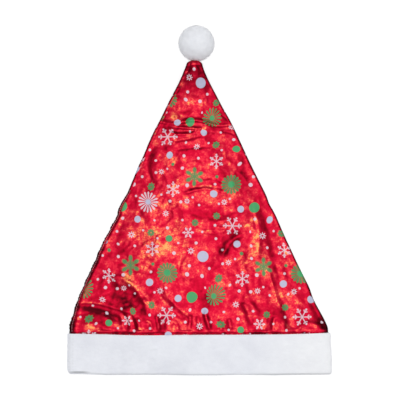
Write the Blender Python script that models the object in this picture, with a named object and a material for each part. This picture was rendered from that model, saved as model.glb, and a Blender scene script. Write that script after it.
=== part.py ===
"""A party hat of printed foil cloth with a plush brim and a pompom, lying on its back panel.

Metres, +Z up. The mouth looks along -Y and the tip points along +Y. The underside lies on
the plane z = 0, and the middle of the hat's outline is over the origin.
"""

import math

import bmesh
import bpy
from mathutils import Vector

# The brim: a plush strip folded double round the crown's hem
BRIM_WIDTH = 0.2905
BRIM_HEIGHT = 0.0458
BRIM_TURN_IN = 0.0420
BRIM_CLOTH = 0.0020
BRIM_LOFT = 0.0350
BRIM_LIP_ROUND = 0.0006

# The crown: one piece of foil cloth, folded over and sewn to a cone
CROWN_LENGTH = 0.2992
CROWN_CLOTH = 0.0012
HEM_DEPTH = 0.0200
HEM_EDGE_RADIUS = 0.0050
TIP_ROUND = 0.0055

# The pompom: a ball of short plush locks, sewn to the crown's tip
POMPOM_DIAMETER = 0.0408
LOCK_LENGTH = 0.0022
LOCK_TAPER = 0.45
LOCK_UNEVEN = 0.12
POMPOM_PRESSED = 0.0010

# How the pieces meet
FIT_GAP = 0.0003
TIP_SINK = 0.0020
TIP_OVER_POMPOM_MIDDLE = 0.0045

# The folds pressed into the upper cloth
FOLD_DEPTH = 0.0052
FOLD_WIDTH = 0.0072
BRIM_DENT_DEPTH = 0.0016
BRIM_DENT_WIDTH = 0.0170

# What follows from the sizes above
HEM_WIDTH = BRIM_WIDTH - 2 * (BRIM_CLOTH + FIT_GAP)
HEM_LIFT = BRIM_CLOTH + FIT_GAP
HEM_LOFT = BRIM_LOFT - 2 * HEM_LIFT
BRIM_TOP = 0.0
MOUTH = BRIM_TOP - BRIM_HEIGHT
TIP = BRIM_TOP + CROWN_LENGTH
POMPOM_RADIUS = POMPOM_DIAMETER / 2
POMPOM_MIDDLE_Z = POMPOM_RADIUS - POMPOM_PRESSED

# Sections of the crown. Up runs from the brim's top edge (0) to the tip (1). Left and right
# are shares of HEM_WIDTH from the middle line, loft of HEM_LOFT, floor of HEM_LIFT, tip of
# the tip's own lift, and edge of HEM_EDGE_RADIUS.
CROWN_SECTIONS = (
    # up, left, right, loft, floor, tip, edge
    (0.000, 0.5000, 0.4945, 1.00, 1.00, 0.00, 1.00),
    (0.055, 0.4935, 0.4740, 0.99, 0.15, 0.00, 0.80),
    (0.121, 0.4740, 0.4360, 0.96, 0.00, 0.00, 0.66),
    (0.165, 0.4510, 0.4205, 0.93, 0.00, 0.00, 0.60),
    (0.254, 0.4090, 0.3745, 0.90, 0.00, 0.00, 0.60),
    (0.342, 0.3705, 0.3320, 0.88, 0.00, 0.00, 0.60),
    (0.430, 0.3225, 0.2935, 0.86, 0.00, 0.00, 0.60),
    (0.474, 0.3110, 0.2690, 0.84, 0.00, 0.00, 0.60),
    (0.518, 0.2800, 0.2515, 0.82, 0.00, 0.00, 0.60),
    (0.607, 0.2400, 0.2055, 0.76, 0.00, 0.00, 0.60),
    (0.695, 0.2015, 0.1590, 0.68, 0.00, 0.00, 0.60),
    (0.783, 0.1555, 0.1170, 0.58, 0.00, 0.06, 0.60),
    (0.871, 0.1095, 0.0750, 0.47, 0.00, 0.30, 0.60),
    (0.915, 0.0900, 0.0440, 0.42, 0.00, 0.52, 0.66),
    (0.960, 0.0670, 0.0210, 0.37, 0.00, 0.82, 0.76),
    (1.000, 0.0460, 0.0100, 0.34, 0.00, 1.00, 0.80),
)

# Sections of the hem inside the brim, from the brim's top edge (0) to the mouth (1)
HEM_SECTIONS = (
    # down, left, right, loft
    (0.00, 0.5000, 0.4945, 1.00),
    (0.50, 0.5000, 0.4990, 1.00),
    (1.00, 0.4985, 0.5010, 0.97),
)

# Folds of the crown's upper cloth. Across is a share of HEM_WIDTH from the middle line and
# up a share of CROWN_LENGTH. Wide is a share of FOLD_WIDTH, and high of FOLD_DEPTH: a ridge
# is above nought and a valley below it.
CROWN_FOLDS = (
    # from across, from up, to across, to up, wide, high
    (-0.056, 0.975, -0.040, 0.925, 0.55, -0.55),
    (-0.020, 0.970, 0.004, 0.915, 0.55, -0.55),
    (-0.106, 0.893, -0.029, 0.901, 0.70, -0.70),
    (-0.152, 0.820, 0.109, 0.812, 0.85, 0.60),
    (-0.179, 0.787, 0.140, 0.774, 0.85, -1.20),
    (-0.182, 0.745, 0.148, 0.741, 0.90, 0.75),
    (-0.190, 0.722, 0.002, 0.700, 0.90, -0.60),
    (0.060, 0.765, 0.163, 0.715, 0.80, -0.70),
    (-0.182, 0.673, -0.171, 0.540, 1.00, -0.90),
    (-0.048, 0.512, 0.086, 0.522, 1.00, -0.60),
    (0.136, 0.360, 0.060, 0.232, 1.20, -0.95),
    (0.225, 0.445, 0.240, 0.261, 1.00, 0.95),
    (0.240, 0.261, 0.302, 0.114, 1.00, 0.75),
    (0.328, 0.298, 0.351, 0.202, 1.00, -0.70),
    (0.424, 0.165, 0.386, 0.077, 1.10, 0.75),
    (0.455, 0.121, 0.417, 0.020, 1.10, -1.10),
    (-0.459, 0.118, -0.298, 0.080, 0.90, 1.10),
    (-0.474, 0.086, -0.298, 0.050, 0.90, -1.40),
    (-0.463, 0.052, -0.355, 0.012, 0.90, 0.70),
    (-0.232, 0.070, -0.236, 0.015, 1.00, -0.70),
    (-0.175, 0.062, -0.179, 0.015, 1.00, 0.55),
    (-0.037, 0.077, -0.041, 0.015, 1.00, 0.55),
    (0.037, 0.085, 0.029, 0.015, 1.00, -1.00),
    (0.117, 0.055, 0.117, 0.015, 1.00, -0.60),
    (0.290, 0.066, 0.294, 0.015, 1.10, 0.60),
)

# Shallow dents across the brim's upper face, each from its top edge to the mouth. Across is
# a share of HEM_WIDTH, wide of BRIM_DENT_WIDTH and high of BRIM_DENT_DEPTH.
BRIM_DENTS = (
    # at the top, at the mouth, wide, high
    (-0.180, -0.210, 0.80, -0.90),
    (-0.060, -0.050, 1.00, 0.60),
    (0.110, 0.130, 0.90, -1.00),
    (0.300, 0.280, 1.10, 0.70),
)

# How finely the cloth is divided. Rows are a stretch's end, as a share up the crown, and
# the number of rows up to it from the last one.
CROWN_ROWS = (
    (0.000, 2),
    (0.140, 8),
    (0.660, 10),
    (0.890, 11),
    (0.975, 4),
)
TIP_ROWS = 4
UPPER_COLUMNS = 36
LOWER_COLUMNS = 4
EDGE_COLUMNS = 4
BRIM_FACE_ROWS = 4
BRIM_FOLD_ROWS = 4
LOCK_SUBDIVISIONS = 2


def smooth_step(share):
    """A share from 0 to 1 eased at both of its ends."""
    share = min(1.0, max(0.0, share))
    return share * share * (3 - 2 * share)


def read_row(table, place):
    """The table's columns at a place in its first column, on a smooth curve through the rows."""
    place = min(table[-1][0], max(table[0][0], place))
    after = next(i for i in range(1, len(table)) if place <= table[i][0])
    before = after - 1
    span = table[after][0] - table[before][0]
    share = (place - table[before][0]) / span
    values = []
    for column in range(1, len(table[0])):
        slopes = []
        for row in (before, after):
            low = max(0, row - 1)
            high = min(len(table) - 1, row + 1)
            rise = table[high][column] - table[low][column]
            slopes.append(rise / (table[high][0] - table[low][0]) * span)
        start = table[before][column]
        end = table[after][column]
        bend_in = 2 * (start - end) + slopes[0] + slopes[1]
        bend_out = 3 * (end - start) - 2 * slopes[0] - slopes[1]
        values.append(((bend_in * share + bend_out) * share + slopes[0]) * share + start)
    return values


def hump(distance, width):
    """A fold's height across it, 1 along its line and fading over its width."""
    return math.exp(-((distance / width) ** 2))


def crown_fold(x, y):
    """How far the crown's folds raise or sink its upper cloth at a place."""
    total = 0.0
    for from_across, from_up, to_across, to_up, wide, high in CROWN_FOLDS:
        start = Vector((from_across * HEM_WIDTH, from_up * CROWN_LENGTH))
        run = Vector((to_across * HEM_WIDTH, to_up * CROWN_LENGTH)) - start
        place = Vector((x, y)) - start
        share = min(1.0, max(0.0, place.dot(run) / run.length_squared))
        total += high * FOLD_DEPTH * hump((place - run * share).length, wide * FOLD_WIDTH)
    return total * smooth_step(y / (FOLD_WIDTH * 2))


def brim_dent(x, y):
    """How far the brim's dents raise or sink its upper face, fading out up the crown."""
    down = min(1.0, max(0.0, -y / BRIM_HEIGHT))
    total = 0.0
    for at_top, at_mouth, wide, high in BRIM_DENTS:
        line = (at_top + (at_mouth - at_top) * down) * HEM_WIDTH
        total += high * BRIM_DENT_DEPTH * hump(x - line, wide * BRIM_DENT_WIDTH)
    return total * (1 - smooth_step(y / (BRIM_DENT_WIDTH * 2)))


def section(y):
    """The crown's flattened section at y: left, right, underside, loft and edge radius."""
    if y < BRIM_TOP:
        left, right, loft = read_row(HEM_SECTIONS, -y / BRIM_HEIGHT)
        return left * HEM_WIDTH, right * HEM_WIDTH, HEM_LIFT, loft * HEM_LOFT, HEM_EDGE_RADIUS
    left, right, loft, floor, tip, edge = read_row(CROWN_SECTIONS, y / CROWN_LENGTH)
    height = max(loft, 0.0) * HEM_LOFT
    tip_height = CROWN_SECTIONS[-1][3] * HEM_LOFT
    tip_lift = POMPOM_MIDDLE_Z + TIP_OVER_POMPOM_MIDDLE - tip_height / 2
    underside = max(floor, 0.0) * HEM_LIFT + max(tip, 0.0) * tip_lift
    return left * HEM_WIDTH, right * HEM_WIDTH, underside, height, edge * HEM_EDGE_RADIUS


def section_loop(y):
    """Points (x, z) round the outside of the crown at y, anticlockwise seen from the mouth."""
    left, right, underside, loft, radius = section(y)
    radius = min(radius, loft * 0.48)
    inner_left = radius - left
    inner_right = right - radius
    points = []
    for column in range(LOWER_COLUMNS + 1):
        share = column / LOWER_COLUMNS
        points.append((inner_left + (inner_right - inner_left) * share, underside))
    for step in range(1, EDGE_COLUMNS):
        turn = math.pi * (step / EDGE_COLUMNS - 0.5)
        points.append(
            (inner_right + radius * math.cos(turn), underside + radius * (1 + math.sin(turn)))
        )
    for column in range(UPPER_COLUMNS + 1):
        across = 1 - 2 * column / UPPER_COLUMNS
        x = (inner_left + inner_right) / 2 + across * (inner_right - inner_left) / 2
        arch = 2 * radius + (loft - 2 * radius) * (1 - across * across) ** 1.35
        fold = crown_fold(x, y) * arch / HEM_LOFT + brim_dent(x, y) * arch / HEM_LOFT
        points.append((x, underside + arch + fold))
    for step in range(1, EDGE_COLUMNS):
        turn = math.pi * (step / EDGE_COLUMNS + 0.5)
        points.append(
            (inner_left + radius * math.cos(turn), underside + radius * (1 + math.sin(turn)))
        )
    return points


def moved_loop(loop, outwards):
    """A loop of (x, z) points moved square to itself, with its corners kept at full width."""
    moved = []
    for index, (x, z) in enumerate(loop):
        here = Vector((x, z))
        arriving = (here - Vector(loop[index - 1])).normalized()
        leaving = (Vector(loop[(index + 1) % len(loop)]) - here).normalized()
        facing = Vector((arriving.y + leaving.y, -arriving.x - leaving.x)).normalized()
        spread = max(0.5, facing.dot(Vector((leaving.y, -leaving.x))))
        place = here + facing * (outwards / spread)
        moved.append((place.x, place.y))
    return moved


def tip_loop(y, outwards):
    """A loop round the crown at y, its end rounded off as a dome over the tip."""
    dome_start = TIP - TIP_ROUND
    loop = moved_loop(section_loop(min(y, dome_start)), outwards)
    if y <= dome_start:
        return loop
    share = min(1.0, (y - dome_start) / (TIP_ROUND + outwards))
    narrowing = math.sqrt(1 - share * share)
    middle = loop_middle(loop)
    return [(middle[0] + (x - middle[0]) * narrowing, middle[1] + (z - middle[1]) * narrowing)
            for x, z in loop]


def loop_middle(loop):
    """The middle of the box round a loop of (x, z) points."""
    xs = [x for x, _ in loop]
    zs = [z for _, z in loop]
    return (min(xs) + max(xs)) / 2, (min(zs) + max(zs)) / 2


def add_ring(mesh, y, loop):
    """One row of the mesh's vertices, round a loop at y."""
    return [mesh.verts.new((x, y, z)) for x, z in loop]


def join_rings(mesh, first, second):
    """A band of four-sided faces between two rows of equal length."""
    for index, corner in enumerate(first):
        after = (index + 1) % len(first)
        mesh.faces.new((corner, first[after], second[after], second[index]))


def close_ring(mesh, ring, point):
    """A fan of faces from a row to one point."""
    for index, corner in enumerate(ring):
        mesh.faces.new((corner, ring[(index + 1) % len(ring)], point))


def make_object(name, mesh, color, roughness, metallic):
    """The named object of a finished mesh, with its own material."""
    data = bpy.data.meshes.new(name)
    mesh.to_mesh(data)
    mesh.free()
    data.shade_smooth()
    material = bpy.data.materials.new(name)
    material.use_nodes = True
    shader = material.node_tree.nodes["Principled BSDF"]
    shader.inputs["Base Color"].default_value = (*color, 1.0)
    shader.inputs["Roughness"].default_value = roughness
    shader.inputs["Metallic"].default_value = metallic
    data.materials.append(material)
    piece = bpy.data.objects.new(name, data)
    bpy.context.scene.collection.objects.link(piece)
    return piece


def crown_places():
    """Where the crown's rows lie along Y, from its hem to where its tip rounds off."""
    places = [BRIM_TOP - HEM_DEPTH]
    for share, count in CROWN_ROWS:
        start = places[-1]
        for step in range(1, count + 1):
            places.append(start + (share * CROWN_LENGTH - start) * step / count)
    return [place for place in places if place < TIP - TIP_ROUND] + [TIP - TIP_ROUND]


def cloth_skin(mesh, places, outwards):
    """One face of the crown's cloth, from the first place to the closed tip."""
    end = TIP + outwards
    dome_start = TIP - TIP_ROUND
    rings = [add_ring(mesh, y, tip_loop(y, outwards)) for y in places]
    for step in range(1, TIP_ROWS):
        y = dome_start + (end - dome_start) * math.sin(math.pi / 2 * step / TIP_ROWS)
        rings.append(add_ring(mesh, y, tip_loop(y, outwards)))
    middle = loop_middle(tip_loop(dome_start, outwards))
    return rings, mesh.verts.new((middle[0], end, middle[1]))


def make_crown():
    """The crown's cloth: an outer and an inner face, joined round the hem."""
    mesh = bmesh.new()
    outer, outer_end = cloth_skin(mesh, crown_places(), 0.0)
    inner, inner_end = cloth_skin(mesh, crown_places(), -CROWN_CLOTH)
    for first, second in zip(outer, outer[1:]):
        join_rings(mesh, second, first)
    for first, second in zip(inner, inner[1:]):
        join_rings(mesh, first, second)
    join_rings(mesh, outer[0], inner[0])
    close_ring(mesh, list(reversed(outer[-1])), outer_end)
    close_ring(mesh, inner[-1], inner_end)
    return make_object("crown", mesh, (0.62, 0.01, 0.03), 0.3, 0.6)


def brim_profile():
    """The brim's cut edge as (y, outwards) points: face, fold, turned-in ply and channel."""
    face = FIT_GAP + BRIM_CLOTH
    channel_face = FIT_GAP
    channel_back = -CROWN_CLOTH - FIT_GAP
    back = channel_back - BRIM_CLOTH
    middle = (face + back) / 2
    fold_radius = (face - back) / 2
    channel_radius = fold_radius - BRIM_CLOTH
    fold_y = MOUTH + fold_radius
    turn_in = MOUTH + BRIM_TURN_IN
    points = [(BRIM_TOP, channel_face), (BRIM_TOP, face - BRIM_LIP_ROUND)]
    for row in range(BRIM_FACE_ROWS):
        start = BRIM_TOP - BRIM_LIP_ROUND
        points.append((start + (fold_y - start) * row / BRIM_FACE_ROWS, face))
    for step in range(BRIM_FOLD_ROWS + 1):
        turn = math.pi * step / BRIM_FOLD_ROWS
        points.append((fold_y - fold_radius * math.sin(turn), middle + fold_radius * math.cos(turn)))
    for row in range(1, BRIM_FACE_ROWS):
        points.append((fold_y + (turn_in - fold_y) * row / BRIM_FACE_ROWS, back))
    points.append((turn_in, back))
    points.append((turn_in, channel_back))
    hem = BRIM_TOP - HEM_DEPTH
    points.append((hem, channel_back))
    for step in range(BRIM_FOLD_ROWS + 1):
        turn = math.pi * (1 - step / BRIM_FOLD_ROWS)
        points.append(
            (fold_y - channel_radius * math.sin(turn), middle + channel_radius * math.cos(turn))
        )
    points.append((hem, channel_face))
    points.append(((hem + BRIM_TOP) / 2, channel_face))
    return points


def make_brim():
    """The brim's doubled cloth, its cut edge swept round the crown's hem."""
    mesh = bmesh.new()
    rings = [add_ring(mesh, y, moved_loop(section_loop(y), outwards))
             for y, outwards in brim_profile()]
    for index, ring in enumerate(rings):
        join_rings(mesh, ring, rings[(index + 1) % len(rings)])
    return make_object("brim", mesh, (0.80, 0.82, 0.88), 0.9, 0.0)


def make_tip_room():
    """The crown's tip grown by the fit gap, to cut the pompom's seat with."""
    mesh = bmesh.new()
    places = [TIP - POMPOM_RADIUS, TIP - POMPOM_RADIUS / 2, TIP - TIP_ROUND]
    rings, end = cloth_skin(mesh, places, FIT_GAP)
    for first, second in zip(rings, rings[1:]):
        join_rings(mesh, second, first)
    close_ring(mesh, list(reversed(rings[-1])), end)
    mesh.faces.new(rings[0])
    room = make_object("tip_room", mesh, (0.5, 0.5, 0.5), 0.5, 0.0)
    room.hide_render = True
    room.display_type = "WIRE"
    return room


def make_pompom(tip_room):
    """The ball with a short lock on each of its faces, pressed flat on the floor below."""
    mesh = bmesh.new()
    bmesh.ops.create_icosphere(
        mesh, subdivisions=LOCK_SUBDIVISIONS, radius=POMPOM_RADIUS - LOCK_LENGTH
    )
    locks = bmesh.ops.extrude_discrete_faces(mesh, faces=mesh.faces[:])["faces"]
    for number, lock in enumerate(locks):
        middle = lock.calc_center_median().normalized()
        short = LOCK_UNEVEN * LOCK_LENGTH * (0.5 + 0.5 * math.sin(number * number))
        for corner in lock.verts:
            pointing = corner.co.normalized().lerp(middle, LOCK_TAPER).normalized()
            corner.co = pointing * (POMPOM_RADIUS - short)
    tip_middle = loop_middle(tip_loop(TIP - TIP_ROUND, 0.0))
    middle_y = TIP - TIP_SINK + POMPOM_RADIUS
    for corner in mesh.verts:
        corner.co += Vector((tip_middle[0], middle_y, POMPOM_MIDDLE_Z))
        corner.co.z = max(0.0, corner.co.z)
    pompom = make_object("pompom", mesh, (0.82, 0.84, 0.88), 0.95, 0.0)
    seat = pompom.modifiers.new("tip_seat", "BOOLEAN")
    seat.operation = "DIFFERENCE"
    seat.solver = "EXACT"
    seat.object = tip_room
    return pompom


def centre_over_origin(pieces):
    """Moves the pieces together so that the middle of their outline is over the origin."""
    bpy.context.view_layer.update()
    corners = [piece.matrix_world @ Vector(corner) for piece in pieces for corner in piece.bound_box]
    middle_x = (min(c.x for c in corners) + max(c.x for c in corners)) / 2
    middle_y = (min(c.y for c in corners) + max(c.y for c in corners)) / 2
    return Vector((-middle_x, -middle_y, 0.0))


def main():
    for old in list(bpy.data.objects):
        bpy.data.objects.remove(old, do_unlink=True)
    crown = make_crown()
    brim = make_brim()
    tip_room = make_tip_room()
    pompom = make_pompom(tip_room)
    shift = centre_over_origin([crown, brim, pompom])
    for piece in (crown, brim, pompom, tip_room):
        piece.location = shift


main()
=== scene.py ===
"""Dresses the party hat: foil cloth with its folds and print, a plush brim and pompom.

The hat lies on its back on a pale floor and is seen from straight above. Metres, +Z up,
with the tip towards +Y.
"""

import functools
import math

import bmesh
import bpy
import numpy as np
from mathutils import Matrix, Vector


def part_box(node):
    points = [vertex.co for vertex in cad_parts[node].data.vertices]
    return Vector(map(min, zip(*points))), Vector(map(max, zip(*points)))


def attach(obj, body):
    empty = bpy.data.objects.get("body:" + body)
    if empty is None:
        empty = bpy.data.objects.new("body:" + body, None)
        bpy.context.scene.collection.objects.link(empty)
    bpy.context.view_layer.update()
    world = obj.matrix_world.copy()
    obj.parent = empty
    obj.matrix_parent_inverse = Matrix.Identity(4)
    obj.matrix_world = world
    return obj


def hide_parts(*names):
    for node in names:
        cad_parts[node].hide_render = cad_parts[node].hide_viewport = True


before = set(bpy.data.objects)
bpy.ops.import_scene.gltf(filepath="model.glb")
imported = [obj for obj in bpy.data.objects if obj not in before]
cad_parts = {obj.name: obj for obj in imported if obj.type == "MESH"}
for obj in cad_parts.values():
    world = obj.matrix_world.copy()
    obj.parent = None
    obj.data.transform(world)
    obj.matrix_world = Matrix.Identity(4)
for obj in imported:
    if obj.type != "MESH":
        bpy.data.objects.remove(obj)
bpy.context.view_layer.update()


# Crown: its shape
# The crown is one piece of thin knitted cloth with a red foil face, folded over along its
# right edge, sewn down its left edge and gathered at the tip. It lies empty, so its upper
# cloth is full of soft dents, pulled creases and gathers.

brim_low, brim_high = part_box("brim")
crown_low, crown_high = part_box("crown")
pompom_low, pompom_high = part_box("pompom")
BRIM_TOP = brim_high[1]
MOUTH = brim_low[1]
TIP = crown_high[1]
CROWN_LENGTH = TIP - BRIM_TOP
HEM_DEPTH = BRIM_TOP - crown_low[1]
BRIM_PLY = 0.0020
FIT_GAP = 0.0003
PILE_ROOM = 0.0003
HEM_LIFT = BRIM_PLY + FIT_GAP
HEM_WIDTH = brim_high[0] - brim_low[0] - 2 * HEM_LIFT - PILE_ROOM
HEM_LOFT = 0.0304
HEM_EDGE_RADIUS = 0.0050
EDGE_OF_LOFT = 0.48
CROWN_CLOTH = 0.0010
TIP_ROUND = 0.0055
TIP_UNDER_MIDDLE = 0.0013
TIP_UNDERSIDE = (pompom_low[2] + pompom_high[2]) / 2 - TIP_UNDER_MIDDLE
ARCH_AT_BRIM = 1.35
ARCH_FLATTER = 0.15
ARCH_FADE = 0.050

# Lengths in this table are shares: up of the crown's length, left and right of the hem's
# width, loft of the hem's height, floor of its lift, tip of the tip's lift, edge of the
# hem's edge radius. The part's own rows were set one by one. A scratch program then added
# the rows between them, moved left and right by what an early render's outline differed
# from the photo's, and spread a few chosen lofts over all rows.
CROWN_SECTIONS = np.array((
    # up, left, right, loft, floor, tip, edge
    (0.000, 0.5000, 0.4945, 1.00, 1.00, 0.00, 1.00),
    (0.020, 0.4996, 0.4922, 0.99, 0.66, 0.00, 0.92),
    (0.055, 0.4896, 0.4757, 0.98, 0.15, 0.00, 0.80),
    (0.121, 0.4702, 0.4386, 0.94, 0.00, 0.00, 0.66),
    (0.165, 0.4492, 0.4219, 0.90, 0.00, 0.00, 0.60),
    (0.210, 0.4289, 0.3987, 0.87, 0.00, 0.00, 0.60),
    (0.254, 0.4060, 0.3760, 0.85, 0.00, 0.00, 0.60),
    (0.298, 0.3863, 0.3547, 0.83, 0.00, 0.00, 0.60),
    (0.342, 0.3659, 0.3333, 0.80, 0.00, 0.00, 0.60),
    (0.386, 0.3419, 0.3128, 0.78, 0.00, 0.00, 0.60),
    (0.430, 0.3174, 0.2929, 0.75, 0.00, 0.00, 0.60),
    (0.452, 0.3118, 0.2809, 0.73, 0.00, 0.00, 0.60),
    (0.474, 0.3019, 0.2678, 0.72, 0.00, 0.00, 0.60),
    (0.496, 0.2876, 0.2598, 0.70, 0.00, 0.00, 0.60),
    (0.518, 0.2750, 0.2494, 0.69, 0.00, 0.00, 0.60),
    (0.562, 0.2558, 0.2263, 0.65, 0.00, 0.00, 0.60),
    (0.607, 0.2370, 0.2028, 0.61, 0.00, 0.00, 0.60),
    (0.651, 0.2151, 0.1809, 0.57, 0.00, 0.00, 0.60),
    (0.695, 0.1960, 0.1596, 0.53, 0.00, 0.00, 0.60),
    (0.739, 0.1752, 0.1383, 0.49, 0.00, 0.01, 0.60),
    (0.783, 0.1505, 0.1155, 0.45, 0.00, 0.06, 0.60),
    (0.827, 0.1286, 0.0889, 0.42, 0.00, 0.16, 0.59),
    (0.871, 0.1052, 0.0650, 0.38, 0.00, 0.30, 0.60),
    (0.915, 0.0808, 0.0407, 0.36, 0.00, 0.52, 0.66),
    (0.960, 0.0600, 0.0190, 0.35, 0.00, 0.82, 0.76),
    (1.000, 0.0440, 0.0060, 0.34, 0.00, 1.00, 0.80),
))
HEM_SECTIONS = np.array((
    # down, left, right, loft
    (0.00, 0.5000, 0.4945, 1.00),
    (0.50, 0.5000, 0.4990, 1.00),
    (1.00, 0.4985, 0.5010, 0.97),
))

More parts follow.
